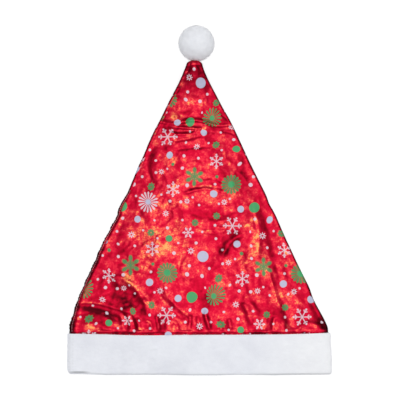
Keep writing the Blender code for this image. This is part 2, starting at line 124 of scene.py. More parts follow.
# Creases are placed as they lie in the photo, in its pixels: three points of each curve
# from start to end. Wide and the heights are in millimetres; a ridge is above nought and a
# valley below it. Lean makes the side on the curve's right steeper.
MM = 0.001
PHOTO_SCALE = 1.098 * MM
PHOTO_MIDDLE = (199.5, 199.75)
CREASES = (
    # x, y, x, y, x, y, wide, high at the start, high at the end, lean
    # the tip, rolled over and gathered where it is sewn to the pompom
    (186, 68, 193, 61, 201, 67, 2.4, 1.5, 1.5, 0.0),
    (188, 71, 195, 66, 203, 70, 1.6, -2.2, -2.2, 0.0),
    (184, 71, 182, 78, 180, 85, 2.2, 1.2, 0.8, 0.0),
    (175, 90, 181, 88, 187, 85, 1.6, -1.3, -0.5, 0.4),
    (176, 94, 184, 93, 193, 90, 2.4, 0.9, 0.4, 0.0),
    (200, 75, 203, 74, 207, 76, 1.5, -0.8, -0.8, 0.0),
    (209, 88, 208, 98, 211, 108, 3.2, -0.9, -0.5, 0.0),
    # the crown bends here, in a bundle of cross creases
    (160, 113, 178, 114, 196, 115, 4.0, 1.5, 0.6, 0.0),
    (157, 121, 172, 124, 186, 122, 1.9, -3.2, -2.0, 0.5),
    (184, 122, 197, 121, 210, 124, 1.8, -1.9, -2.1, 0.5),
    (208, 124, 220, 126, 234, 124, 1.8, -2.2, -2.8, 0.4),
    (160, 118, 167, 119, 175, 121, 1.8, 1.5, 0.5, 0.0),
    (168, 126, 184, 128, 200, 129, 1.5, -1.6, -1.5, 0.3),
    (166, 130, 180, 131, 193, 131, 2.4, 1.6, 1.1, 0.0),
    (172, 133, 183, 135, 195, 132, 1.7, -1.9, -1.0, 0.4),
    (176, 141, 188, 139, 200, 136, 2.0, -1.2, -0.6, 0.4),
    (203, 133, 212, 131, 224, 133, 2.6, 1.2, 0.9, 0.0),
    (222, 115, 226, 118, 230, 122, 1.6, -1.8, -1.5, 0.3),
    (225, 112, 229, 115, 233, 119, 1.5, 1.0, 1.0, 0.0),
    (224, 132, 231, 133, 238, 137, 1.9, -1.8, -2.0, 0.4),
    (229, 128, 235, 130, 240, 134, 1.9, 1.5, 1.2, 0.0),
    (151, 131, 154, 128, 158, 124, 3.0, 1.5, 1.0, 0.0),
    # below it the cloth opens out again
    (148, 144, 155, 146, 162, 149, 1.9, -0.9, -0.5, 0.4),
    (152, 149, 147, 163, 151, 180, 2.5, -1.4, -1.0, 0.3),
    (158, 150, 156, 164, 158, 182, 3.9, 0.9, 0.5, 0.0),
    (168, 148, 185, 143, 204, 139, 2.9, 0.8, 0.6, 0.0),
    (178, 150, 193, 148, 210, 147, 2.0, -0.8, -0.7, 0.5),
    (181, 157, 196, 157, 215, 156, 3.1, 0.6, 0.4, 0.0),
    (204, 179, 212, 179, 221, 182, 2.0, -0.7, -0.4, 0.5),
    (192, 188, 206, 186, 221, 188, 2.4, 0.9, 0.6, 0.0),
    (187, 193, 204, 189, 222, 192, 2.2, -1.4, -0.8, 0.3),
    (180, 178, 176, 184, 171, 190, 2.9, 0.6, 0.4, 0.0),
    (246, 149, 246, 166, 253, 186, 3.1, -0.7, -0.6, 0.0),
    (256, 178, 260, 188, 266, 200, 2.2, 0.6, 0.5, 0.0),
    (167, 203, 171, 207, 176, 206, 2.5, -1.2, -0.9, 0.3),
    (140, 212, 141, 216, 144, 222, 2.9, -0.9, -0.6, 0.0),
    (122, 224, 118, 232, 115, 242, 3.1, -1.0, -0.6, 0.0),
    (192, 212, 210, 217, 230, 213, 3.8, -1.2, -0.7, 0.0),
    (198, 207, 214, 209, 234, 205, 3.4, 0.7, 0.6, 0.0),
    (219, 221, 229, 219, 240, 211, 2.7, 0.8, 0.5, 0.0),
    (205, 229, 216, 228, 228, 229, 1.7, -0.7, -0.5, 0.4),
    (204, 232, 213, 233, 224, 231, 1.9, 0.6, 0.4, 0.0),
    # the long slanting valley right of the middle, and the ridges beyond it
    (239, 236, 230, 242, 224, 252, 3.6, -1.6, -1.9, 0.0),
    (224, 252, 219, 260, 211, 270, 3.6, -1.9, -1.0, 0.0),
    (242, 246, 238, 255, 232, 268, 4.0, 0.6, 0.4, 0.0),
    (216, 248, 211, 256, 205, 264, 3.1, 0.6, 0.5, 0.0),
    (255, 213, 259, 234, 257, 256, 2.5, 1.1, 0.8, 0.5),
    (263, 212, 271, 240, 277, 268, 3.6, -1.0, -0.9, 0.0),
    (277, 268, 280, 282, 281, 298, 3.1, -0.9, -0.5, 0.0),
    (268, 268, 272, 284, 279, 305, 1.9, 1.0, 0.7, 0.4),
    (243, 256, 242, 264, 247, 273, 2.9, 0.7, 0.6, 0.0),
    (279, 234, 287, 250, 293, 268, 1.7, 0.9, 0.7, 0.3),
    (286, 268, 289, 280, 296, 290, 2.9, -0.7, -0.5, 0.0),
    (308, 287, 307, 297, 310, 309, 1.9, 1.0, 0.7, 0.3),
    (313, 303, 319, 316, 326, 330, 3.6, -3.0, -3.7, 0.0),
    (298, 330, 309, 323, 323, 329, 2.4, 1.5, 1.5, 0.0),
    (287, 300, 286, 312, 290, 325, 4.0, -1.4, -1.1, 0.0),
    (296, 297, 298, 308, 296, 320, 3.6, 0.7, 0.6, 0.0),
    # the left side, pulled by the seam
    (99, 257, 109, 260, 119, 272, 1.7, -1.2, -0.7, 0.5),
    (100, 252, 110, 253, 120, 260, 2.0, 0.7, 0.4, 0.0),
    (117, 276, 131, 283, 144, 300, 3.0, 1.7, 1.4, -0.4),
    (144, 300, 147, 306, 147, 314, 2.6, 1.4, 1.0, 0.0),
    (112, 290, 127, 294, 138, 309, 6.5, -2.4, -2.2, 0.0),
    (165, 284, 169, 298, 190, 317, 2.0, 0.9, 0.9, 0.4),
    (158, 290, 164, 301, 182, 317, 2.5, -1.1, -1.2, 0.0),
    (183, 257, 179, 268, 182, 281, 2.5, -1.1, -0.7, 0.0),
    (190, 262, 188, 274, 190, 285, 2.9, 0.6, 0.5, 0.0),
    (77, 306, 94, 303, 126, 312, 3.2, 2.4, 1.6, 0.5),
    (82, 314, 97, 312, 118, 320, 3.6, -2.0, -1.6, 0.0),
    (88, 323, 100, 325, 110, 331, 3.4, 1.0, 1.0, 0.0),
    (74, 331, 75, 324, 79, 317, 2.4, 1.3, 1.0, 0.0),
    # short gathers where the crown goes into the brim
    (124, 316, 127, 324, 126, 334, 2.0, -1.8, -1.8, 0.0),
    (131, 316, 134, 324, 134, 334, 1.9, -1.8, -2.1, 0.0),
    (137, 320, 139, 326, 139, 334, 1.9, 1.7, 1.5, 0.0),
    (156, 317, 158, 325, 159, 334, 1.9, -2.2, -2.4, 0.4),
    (147, 321, 151, 324, 152, 334, 1.7, 1.6, 1.4, 0.0),
    (165, 319, 167, 325, 166, 334, 2.6, 1.1, 1.4, 0.0),
    (175, 322, 178, 327, 177, 334, 2.2, -1.4, -1.6, 0.0),
    (190, 317, 190, 324, 189, 334, 2.0, 1.6, 1.5, 0.0),
    (205, 314, 207, 322, 211, 334, 2.4, -3.0, -3.0, 0.3),
    (198, 318, 199, 325, 201, 334, 2.2, 1.3, 1.3, 0.0),
    (219, 322, 221, 327, 220, 334, 2.4, 1.1, 1.3, 0.0),
    (229, 320, 230, 326, 231, 334, 2.0, -1.6, -1.6, 0.0),
    (244, 305, 248, 313, 251, 322, 3.0, -2.0, -1.7, 0.0),
    (252, 306, 256, 315, 259, 326, 3.2, 1.1, 0.9, 0.0),
    (274, 319, 273, 326, 273, 334, 2.2, -2.0, -2.1, 0.0),
    (266, 318, 265, 326, 265, 334, 2.6, 1.1, 1.3, 0.0),
    (284, 322, 284, 328, 285, 334, 2.2, 1.3, 1.3, 0.0),
    (224, 290, 228, 300, 236, 312, 2.5, 0.7, 0.5, 0.0),
    (246, 289, 248, 298, 254, 308, 2.2, 0.6, 0.4, 0.0),
)
CREASE_STEPS = 16
CREASE_REACH = 3.2

# Between the creases the cloth is uneven in waves of four sizes. Their ridges are round, or
# sharp where the cloth is crumpled.
RIDGED_MEAN = 0.6
CLOTH_WAVES = (
    # high (millimetres), longest, shortest, waves, seed, sharp-ridged
    (0.60, 0.070, 0.030, 16, 3, False),
    (0.30, 0.030, 0.013, 22, 8, True),
    (0.050, 0.0085, 0.0045, 18, 11, False),
    (0.11, 0.0160, 0.0080, 20, 15, True),
)

# The seam draws the cloth in: a groove with a ridge beside it, small puckers along it and a
# ragged allowance. It shows in full below the second of the places along Y in SEAM_PLAIN.
SEAM_DEPTH = 0.0016
SEAM_WIDTH = 0.0011
SEAM_RIDGE = 0.0007
SEAM_RIDGE_AT = 0.0022
SEAM_PLAIN = (0.011, -0.016)
SEAM_FAINT = 0.2
PUCKER_SPACING = 0.0052
PUCKER_DEPTH = 0.0004
PUCKER_REACH = 0.0045
PUCKER_WANDER = (1.7, 171.0)
SEAM_RAGGED = 0.00030
RAGGED_FADE = 0.004

# The brim presses the cloth down where it goes in, and its relief fades out there.
BRIM_DIP = 0.0010
BRIM_DIP_LENGTH = 0.0030
BRIM_FADE_FROM = 0.0002
BRIM_FADE = 0.0050

# How far the cloth, and so its print, is pulled from where it would rest flat, in the
# photo's pixels. Nearly all of these numbers came from a scratch program, which matched the
# print of early renders with the photo's, patch by patch. A few were set one by one.
PRINT_PULLS = np.array((
    # x, y, pulled along x, pulled along y
    (200, 74, 4.2, 5.5), (195, 83, 5.0, 5.3), (206, 83, 3.3, 5.3), (200, 94, 4.3, 5.2),
    (180, 114, 7.7, 2.6), (193, 116, 6.9, 4.4), (203, 121, 0.6, 5.2), (220, 121, 0.0, 5.0),
    (160, 134, 5.9, 0.8), (180, 134, 6.7, 1.2), (200, 134, 3.2, 2.1), (220, 134, 1.9, 1.5),
    (160, 154, 4.0, 0.7), (180, 154, 2.5, 0.2), (200, 154, -0.3, 1.0), (220, 154, 0.1, 1.0),
    (240, 154, 4.2, -0.4), (140, 174, 3.1, -2.0), (160, 174, 3.7, -1.6), (180, 174, 0.4, -0.3),
    (220, 174, 0.0, 1.2), (240, 174, -0.2, 0.3), (140, 194, 1.4, -1.2), (155, 203, 1.0, -0.1),
    (160, 194, 0.7, 0.1), (200, 194, -0.2, -0.1), (240, 194, 0.1, -0.3), (260, 194, 0.0, 0.1),
    (120, 214, 1.5, -1.0), (160, 214, -0.7, 0.1), (220, 214, 0.1, 0.1), (260, 214, -0.6, 0.2),
    (120, 234, -0.8, 0.5), (180, 234, 0.3, 0.2), (240, 234, 0.4, 0.4), (260, 234, -3.9, 1.0),
    (280, 234, -3.9, 0.4), (120, 254, 0.6, -0.9), (107, 250, 2.6, -3.9), (200, 254, 0.0, -0.1),
    (240, 254, 0.4, -0.1), (260, 254, -0.8, 1.5), (280, 254, -2.2, 0.9), (100, 274, 1.4, -4.6),
    (120, 274, 0.7, 0.2), (160, 274, 0.1, -1.0), (240, 274, 0.1, -0.2), (280, 274, -0.8, 1.0),
    (300, 274, -0.7, 0.0), (100, 294, -0.6, -2.9), (120, 294, 1.1, -2.8),
    (140, 294, -0.4, -0.8), (180, 294, 1.5, -0.4), (200, 294, 1.9, 0.2), (240, 294, -0.5, 0.2),
    (260, 294, 0.2, 0.2), (300, 294, -0.3, 0.3), (213, 297, -4.4, 4.6), (228, 297, -2.0, 2.5),
    (80, 314, 1.4, -2.8), (86, 334, 0.6, -1.6), (100, 314, 3.5, -4.8), (110, 324, 4.4, -5.2),
    (120, 314, 3.8, 0.1), (160, 314, -1.3, 0.2), (170, 332, -4.4, 1.6), (200, 314, -2.8, 1.7),
    (240, 314, -0.3, 1.7), (240, 328, 1.5, 1.9), (266, 314, 1.7, 2.7), (276, 317, 0.6, 3.0),
    (286, 306, -2.0, 2.3), (300, 314, -0.4, 2.3),
))
PULL_REACH = 11.0
PULL_BLEND = 0.4
# The crown's right edge leans in by this much for each metre up, and the cloth is unfolded
# about it. The stretch over creases is measured against a mean over some rows.
EDGE_SLOPE = 0.479
TREND_ROWS = 18

ROW_STEP = 0.0011
UPPER_COLUMNS = 180
EDGE_COLUMNS = 8
LOWER_COLUMNS = 40
TIP_ROWS = 8


def photo_place(x, y):
    """A pixel of the photo as a place on the floor, in metres."""
    return (x - PHOTO_MIDDLE[0]) * PHOTO_SCALE, (PHOTO_MIDDLE[1] - y) * PHOTO_SCALE


def read_rows(table, places):
    """The table's columns at many places, on a smooth curve through its rows."""
    marks = table[:, 0]
    values = table[:, 1:]
    places = np.clip(places, marks[0], marks[-1])
    after = np.clip(np.searchsorted(marks, places), 1, len(marks) - 1)
    before = after - 1
    low = np.maximum(np.arange(len(marks)) - 1, 0)
    high = np.minimum(np.arange(len(marks)) + 1, len(marks) - 1)
    slopes = (values[high] - values[low]) / (marks[high] - marks[low])[:, None]
    span = (marks[after] - marks[before])[:, None]
    share = (places - marks[before])[:, None] / span
    start = values[before]
    end = values[after]
    slope_in = slopes[before] * span
    slope_out = slopes[after] * span
    bend_in = 2 * (start - end) + slope_in + slope_out
    bend_out = 3 * (end - start) - 2 * slope_in - slope_out
    return (((bend_in * share + bend_out) * share + slope_in) * share + start).T


def smooth_step(share):
    """Shares from 0 to 1 eased at both of their ends."""
    share = np.clip(share, 0.0, 1.0)
    return share * share * (3 - 2 * share)


def wave_field(x, y, longest, shortest, count, seed):
    """A soft random height over places, from waves of many directions, about 1 high."""
    random = np.random.default_rng(seed)
    total = np.zeros_like(x)
    for _ in range(count):
        length = longest * (shortest / longest) ** random.random()
        turn = random.random() * math.tau
        phase = random.random() * math.tau
        along = (x * math.cos(turn) + y * math.sin(turn)) * math.tau / length
        total += np.sin(along + phase)
    return total / math.sqrt(count / 2)


def crease_field(x, y, creases):
    """The height that the creases add to the upper cloth at places."""
    total = np.zeros_like(x)
    for x0, y0, x1, y1, x2, y2, wide, first, last, lean in creases:
        share = np.linspace(0, 1, CREASE_STEPS)
        start, bend, end = (np.array(photo_place(*p)) for p in ((x0, y0), (x1, y1), (x2, y2)))
        control = 2 * bend - (start + end) / 2
        line = ((1 - share) ** 2)[:, None] * start + (2 * share * (1 - share))[:, None] * control
        line = line + (share**2)[:, None] * end
        reach = CREASE_REACH * wide * MM
        near = (x > line[:, 0].min() - reach) & (x < line[:, 0].max() + reach)
        near &= (y > line[:, 1].min() - reach) & (y < line[:, 1].max() + reach)
        place = np.stack((x[near], y[near]), axis=1)
        nearest = np.full(len(place), np.inf)
        along = np.zeros(len(place))
        side = np.zeros(len(place))
        for step in range(CREASE_STEPS - 1):
            run = line[step + 1] - line[step]
            offset = place - line[step]
            part = np.clip(offset @ run / (run @ run), 0, 1)
            gap = np.hypot(*(offset - part[:, None] * run).T)
            closer = gap < nearest
            nearest = np.where(closer, gap, nearest)
            along = np.where(closer, (step + part) / (CREASE_STEPS - 1), along)
            side = np.where(closer, np.sign(offset[:, 1] * run[0] - offset[:, 0] * run[1]), side)
        width = wide * MM * (1 + lean * side)
        height = (first + (last - first) * along) * MM
        total[near] += height * np.exp(-((nearest / width) ** 2))
    return total


def sections_at(y):
    """The crown's flattened sections at places along Y: left, right, underside, loft, radius."""
    up = (y - BRIM_TOP) / CROWN_LENGTH
    left, right, loft, floor, tip, edge = read_rows(CROWN_SECTIONS, up)
    hem_left, hem_right, hem_loft = read_rows(HEM_SECTIONS, (BRIM_TOP - y) / (BRIM_TOP - MOUTH))
    inside = y < BRIM_TOP
    left = np.where(inside, hem_left, left) * HEM_WIDTH
    right = np.where(inside, hem_right, right) * HEM_WIDTH
    loft = np.where(inside, hem_loft, loft) * HEM_LOFT
    under = np.where(inside, 1.0, np.maximum(floor, 0)) * HEM_LIFT
    under = under + np.where(inside, 0.0, np.maximum(tip, 0)) * TIP_UNDERSIDE
    radius = np.where(inside, 1.0, edge) * HEM_EDGE_RADIUS
    return left, right, under, loft, np.minimum(radius, loft * EDGE_OF_LOFT)


def seam_edge(y):
    """How far the allowance beside the side seam stands out or in, ragged above the brim."""
    place = np.zeros_like(y)
    ragged = wave_field(place, y, 0.0090, 0.0026, 14, 21)
    ragged = ragged + 0.6 * wave_field(place, y, 0.03, 0.012, 6, 5)
    above_brim = smooth_step((y - BRIM_TOP) / RAGGED_FADE)
    return SEAM_RAGGED * ragged * above_brim * seam_strength(y)


def seam_strength(y):
    """How much the side seam shows: fully at its lower half, little above."""
    start, end = SEAM_PLAIN
    return SEAM_FAINT + (1 - SEAM_FAINT) * smooth_step((start - y) / (start - end))


def cloth_loops(y, columns, upper_height):
    """Loops (x, z) round the crown at places along Y, one row each.

    They start at the seam, cross the upper cloth to the right edge, go round it and come
    back underneath. upper_height(x, y) is what is added over the smooth arch.
    """
    upper, edge, lower = columns
    left, right, under, loft, radius = (value[:, None] for value in sections_at(y))
    inner_left = radius - left
    inner_right = right - radius
    across = np.linspace(-1, 1, upper + 1)[None, :]
    upper_x = (inner_left + inner_right) / 2 + across * (inner_right - inner_left) / 2
    roundness = ARCH_AT_BRIM - ARCH_FLATTER * smooth_step((y[:, None] - BRIM_TOP) / ARCH_FADE)
    arch = 2 * radius + (loft - 2 * radius) * (1 - across * across) ** roundness
    give = np.clip(arch / (0.5 * HEM_LOFT), 0.3, 1.0)
    added = upper_height(upper_x, np.broadcast_to(y[:, None], upper_x.shape)) * give
    upper_z = under + arch + added
    turn = np.linspace(math.pi / 2, -math.pi / 2, edge + 1)[None, 1:-1]
    weight = ((1 + np.sin(turn)) / 2) ** 2
    ragged = seam_edge(y)[:, None]
    right_x = inner_right + radius * np.cos(turn)
    right_z = under + radius * (1 + np.sin(turn)) + weight * added[:, -1:]
    lower_share = np.linspace(0, 1, lower + 1)[None, :]
    lower_x = inner_right + (inner_left - inner_right) * lower_share
    lower_z = np.broadcast_to(under, lower_x.shape)
    left_x = inner_left - (radius + ragged) * np.cos(turn[:, ::-1])
    left_z = under + radius * (1 + np.sin(turn[:, ::-1])) + weight[:, ::-1] * added[:, :1]
    return np.stack(
        (
            np.concatenate((upper_x, right_x, lower_x, left_x), axis=1),
            np.concatenate((upper_z, right_z, lower_z, left_z), axis=1),
        ),
        axis=2,
    )


def moved_loops(loops, outwards):
    """Loops moved square to themselves, with their corners kept at full width."""
    arriving = loops - np.roll(loops, 1, axis=1)
    leaving = np.roll(loops, -1, axis=1) - loops
    arriving = arriving / np.linalg.norm(arriving, axis=2, keepdims=True)
    leaving = leaving / np.linalg.norm(leaving, axis=2, keepdims=True)
    both = arriving + leaving
    facing = np.stack((-both[..., 1], both[..., 0]), axis=2)
    facing = facing / np.linalg.norm(facing, axis=2, keepdims=True)
    square = np.stack((-leaving[..., 1], leaving[..., 0]), axis=2)
    spread = np.maximum(0.6, (facing * square).sum(axis=2, keepdims=True))
    return loops + facing * outwards / spread


def skin_rows(places, columns, upper_height, outwards):
    """One face of the crown's cloth as rows of points, and the point that closes its tip."""
    dome_start = TIP - TIP_ROUND
    end = TIP + outwards
    straight = moved_loops(cloth_loops(places, columns, upper_height), outwards)
    rows = [(y, loop) for y, loop in zip(places, straight)]
    last = straight[-1]
    middle = (last.min(axis=0) + last.max(axis=0)) / 2
    for step in range(1, TIP_ROWS):
        turn = math.pi / 2 * step / TIP_ROWS
        rows.append((dome_start + (end - dome_start) * math.sin(turn),
                     middle + (last - middle) * math.cos(turn)))
    points = np.array([[(x, y, z) for x, z in loop] for y, loop in rows])
    return points, (middle[0], end, middle[1])


def crown_height(x, y):
    """The whole relief of the upper cloth: creases, soft dents, crumple and seam puckers."""
    sections = sections_at(y[:, 0])
    left, radius = sections[0][:, None], sections[4][:, None]
    from_seam = np.maximum(x + left - radius, 0.0)
    above_brim = smooth_step((y - BRIM_TOP - BRIM_FADE_FROM) / BRIM_FADE)
    relief = crease_field(x, y, CREASES)
    for high, longest, shortest, count, seed, ridged in CLOTH_WAVES:
        waves = wave_field(x, y, longest, shortest, count, seed)
        relief += high * MM * (RIDGED_MEAN - np.abs(waves) if ridged else waves)
    wander = PUCKER_WANDER[0] * np.sin(y * PUCKER_WANDER[1])
    pucker = np.sin(y / PUCKER_SPACING * math.tau + wander)
    pucker = PUCKER_DEPTH * pucker * np.exp(-((from_seam / PUCKER_REACH) ** 2))
    ridge = SEAM_RIDGE * np.exp(-(((from_seam - SEAM_RIDGE_AT) / SEAM_WIDTH) ** 2))
    groove = -SEAM_DEPTH * np.exp(-((from_seam / SEAM_WIDTH) ** 2))
    ridge, groove = ridge * seam_strength(y), groove * seam_strength(y)
    dip = np.sin(np.clip((y - BRIM_TOP) / BRIM_DIP_LENGTH, 0, 1) * math.pi) ** 2
    return (relief + pucker + ridge + groove) * above_brim - BRIM_DIP * dip


def print_pull(x, y):
    """How far the cloth is pulled at places, in metres along X and Y."""
    photo_x = x / PHOTO_SCALE + PHOTO_MIDDLE[0]
    photo_y = PHOTO_MIDDLE[1] - y / PHOTO_SCALE
    along = np.zeros_like(x)
    up = np.zeros_like(x)
    weights = np.full_like(x, 1e-9)
    for pin_x, pin_y, pull_x, pull_y in PRINT_PULLS:
        gap = ((photo_x - pin_x) ** 2 + (photo_y - pin_y) ** 2) / PULL_REACH**2
        weight = 1 / (PULL_BLEND + gap) ** 2
        along += weight * pull_x
        up += weight * pull_y
        weights += weight
    return along / weights * PHOTO_SCALE, -up / weights * PHOTO_SCALE


def chart_points(places, columns, points):
    """Where each point of the outer cloth lies on the flat cloth, in metres.

    The upper cloth keeps its place as seen from above, stretched over the creases. Past the
    right edge it is unfolded about that edge, back to the seam.
    """
    upper, edge, lower = columns
    chart = points[:, :, :2].copy()
    steps = np.diff(points[:, : upper + 1], axis=0)
    extra = np.linalg.norm(steps, axis=2) - np.abs(steps[:, :, 1])
    drift = np.concatenate((np.zeros((1, upper + 1)), np.cumsum(extra, axis=0)))
    past_ends = ((TREND_ROWS, TREND_ROWS), (0, 0))
    padded = np.pad(drift, past_ends, mode="reflect", reflect_type="odd")
    window = np.ones(2 * TREND_ROWS + 1) / (2 * TREND_ROWS + 1)
    trend = np.apply_along_axis(lambda column: np.convolve(column, window, "valid"), 0, padded)
    chart[:, : upper + 1, 1] += drift - trend
    pull_x, pull_y = print_pull(points[:, : upper + 1, 0], points[:, : upper + 1, 1])
    chart[:, : upper + 1, 0] -= pull_x
    chart[:, : upper + 1, 1] -= pull_y
    edge_turn = math.atan(EDGE_SLOPE)
    outwards = np.array((math.cos(edge_turn), math.sin(edge_turn)))
    back = np.array((math.cos(2 * edge_turn), math.sin(2 * edge_turn)))
    start = chart[:, upper : upper + 1, :]
    radius = sections_at(np.minimum(places, TIP - TIP_ROUND))[4]
    for step in range(1, edge):
        chart[:, upper + step] = start[:, 0] + outwards * (radius * math.pi * step / edge)[:, None]
    first_lower = upper + edge
    width = points[:, upper, 0:1] - points[:, first_lower : first_lower + lower + 1, 0]
    under_start = start + outwards * (radius * math.pi)[:, None, None]
    chart[:, first_lower : first_lower + lower + 1] = under_start + width[:, :, None] * back
    last = first_lower + lower
    for step in range(1, edge):
        chart[:, last + step] = chart[:, last] + back * (radius * math.pi * step / edge)[:, None]
    closing = chart[:, last] + back * (radius * math.pi)[:, None]
    return np.concatenate((chart, closing[:, None]), axis=1)


places = np.arange(BRIM_TOP - HEM_DEPTH, TIP - TIP_ROUND, ROW_STEP)
places = np.append(places, TIP - TIP_ROUND)
columns = (UPPER_COLUMNS, EDGE_COLUMNS, LOWER_COLUMNS)
outer, outer_end = skin_rows(places, columns, crown_height, 0.0)
inner_places = np.append(places[:-1:2], places[-1])
half_columns = (UPPER_COLUMNS // 2, EDGE_COLUMNS // 2, LOWER_COLUMNS // 2)
inner, inner_end = skin_rows(inner_places, half_columns, crown_height, -CROWN_CLOTH)
row_count, around = outer.shape[:2]
inner_count, inner_around = inner.shape[:2]
chart = chart_points(np.append(places, np.full(TIP_ROWS - 1, TIP)), columns, outer)

crown_mesh = bmesh.new()
outer_points = [[crown_mesh.verts.new(p) for p in row] for row in outer]
inner_points = [[crown_mesh.verts.new(p) for p in row] for row in inner]
outer_tip = crown_mesh.verts.new(outer_end)
inner_tip = crown_mesh.verts.new(inner_end)
cloth_map = crown_mesh.loops.layers.uv.new("cloth")


def round_trip(count):
    """Each column with the one after it, from the last back to the first."""
    return [(column, (column + 1) % count) for column in range(count)]


def cloth_face(corners, spots, material_index):
    """A face of the cloth, with its corners' places on the flat cloth. 0 is foil, 1 is back."""
    face = crown_mesh.faces.new(corners)
    face.smooth = True
    face.material_index = material_index
    for loop, spot in zip(face.loops, spots):
        loop[cloth_map].uv = spot


for row in range(row_count - 1):
    for column, after in round_trip(around):
        cloth_face(
            (outer_points[row][column], outer_points[row][after],
             outer_points[row + 1][after], outer_points[row + 1][column]),
            (chart[row, column], chart[row, column + 1],
             chart[row + 1, column + 1], chart[row + 1, column]),
            0,
        )
for column, after in round_trip(around):
    cloth_face(
        (outer_points[-1][column], outer_points[-1][after], outer_tip),
        (chart[-1, column], chart[-1, column + 1], chart[-1, column]),
        0,
    )
for row in range(inner_count - 1):
    for column, after in round_trip(inner_around):
        corners = (inner_points[row][column], inner_points[row + 1][column],
                   inner_points[row + 1][after], inner_points[row][after])
        cloth_face(corners, [c.co.xy for c in corners], 1)
for column, after in round_trip(inner_around):
    corners = (inner_points[-1][after], inner_points[-1][column], inner_tip)
    cloth_face(corners, [c.co.xy for c in corners], 1)
for column, after in round_trip(inner_around):
    first = outer_points[0][2 * column]
    middle = outer_points[0][2 * column + 1]
    last = outer_points[0][(2 * column + 2) % around]
    inside_first = inner_points[0][column]
    inside_last = inner_points[0][after]
    for corners in ((first, inside_first, middle), (middle, inside_first, inside_last),
                    (middle, inside_last, last)):
        cloth_face(corners, [c.co.xy for c in corners], 1)


def mesh_data(name, mesh):
    """The plain mesh of what was built."""
    data = bpy.data.meshes.new(name)
    mesh.to_mesh(data)
    mesh.free()
    return data


def scene_object(name, data):
    """An object of the scene, made from its data."""
    made = bpy.data.objects.new(name, data)
    bpy.context.scene.collection.objects.link(made)
    return made


crown_data = mesh_data("crown_cloth", crown_mesh)
crown_cloth = scene_object("crown_cloth", crown_data)
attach(crown_cloth, "root")
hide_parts("crown")


# Crown: its foil and its print
# The face is a holographic foil with a fine glitter, painted orange and gold where it faces
# the light (painted highlight) and crimson in the slopes (painted shade). Green and white
# ink is printed over it in a repeat of snowflakes, starbursts, flowers and dots.

# Painted highlights on the foil, warmer and brighter, and painted shade, deeper, in soft patches.
FOIL_PAINTED_LIGHT = (
    # x, y, reach along x, reach along y, turn, painted highlight above nought or painted shade
    # below
    (148, 236, 16, 26, 0.0, 0.36),
    (176, 250, 14, 20, 0.0, 0.22),
    (257, 240, 8, 32, -0.15, 0.40),
    (275, 284, 5, 22, -0.2, 0.36),
    (212, 195, 30, 10, 0.0, 0.16),
    (168, 168, 14, 24, 0.0, 0.10),
    (123, 298, 20, 12, 0.15, -0.55),
    (138, 289, 3.8, 13, -0.85, 0.38),
    (147, 303, 3, 9, -0.15, 0.28),
    (208, 300, 9, 13, 0.0, -0.42),
    (200, 295, 12, 11, 0.0, -0.42),
    (209, 278, 7, 7, 0.0, -0.28),
    (288, 326, 5, 6, 0.0, 0.45),
    (71, 327, 4, 6, 0.0, -0.50),
    (318, 307, 4, 8, -0.44, -0.35),
    (226, 165, 9, 10, 0.0, 0.28),
    (176, 117, 8, 5, 0.0, 0.45),
    (127, 278, 7, 7, 0.0, 0.60),
    (146, 313, 12, 5, 0.3, -0.60),
    (192, 151, 12, 7, 0.0, -0.28),
    (240, 152, 7, 8, 0.0, -0.24),
    (176, 276, 8, 8, 0.0, -0.28),
    (192, 231, 9, 8, 0.0, -0.25),
    (245, 262, 6, 10, 0.0, 0.25),
    (113, 232, 5, 10, -0.4, 0.16),
    (92, 310, 15, 3.0, 0.20, -1.15),
    (112, 316, 10, 2.8, 0.55, -0.80),
    (89, 302.5, 13, 1.8, 0.10, 0.45),
    (91, 327, 12, 2.4, 0.30, 0.36),
    (78, 317, 2.0, 6, 0.25, 0.25),
    (117, 323, 2.4, 8, -0.30, 0.45),
    (139, 327, 2.8, 7, 0.0, 0.30),
    (149, 322, 2.0, 8, -0.5, 0.35),
    (94, 320, 22, 9, 0.0, -0.14),
    (325, 323, 5, 13, -0.44, -1.00),
    (269, 246, 4, 40, -0.2, -0.22),
    (150, 164, 5, 18, 0.0, -0.18),
    (218, 216, 16, 6, 0.0, -0.14),
    (205, 214, 16, 3.6, 0.05, -0.42),
    (213, 182, 10, 2.2, 0.05, -0.35),
    (206, 187, 15, 1.6, -0.03, 0.35),
    (212, 239, 15, 5.5, 0.0, -0.28),
    (230, 247, 3.4, 13, 0.65, -0.50),
    (208, 230.5, 8, 1.3, 0.0, 0.35),
    (188, 88, 9, 14, 0.0, 0.14),
    (182, 83, 2.5, 8, -0.35, 0.40),
    (194, 63, 6, 1.6, 0.0, 0.35),
    (196, 67, 7, 1.5, 0.0, -0.55),
    (181, 91, 6, 1.6, -0.3, -0.50),
)
SEAM_PAINTED_SHADE = 0.45
# A painted shadow, a deep line where the cloth goes into the brim: y, reach, deeper.
BRIM_PAINTED_SHADOW = (333.6, 1.2, 0.85)
# Where the print is lost in gathers, beside the tip, at the left edge and along the brim.
GATHERS = (
    # x, y, reach
    (181.0, 79.0, 9.0), (186.5, 71.0, 3.0), (160.0, 119.5, 3.5), (153.0, 137.0, 4.0),
    (221.0, 334.0, 2.0), (248.0, 334.0, 2.0), (267.0, 334.0, 2.0), (307.0, 333.6, 4.0),
)
GATHER_NARROW = 0.6

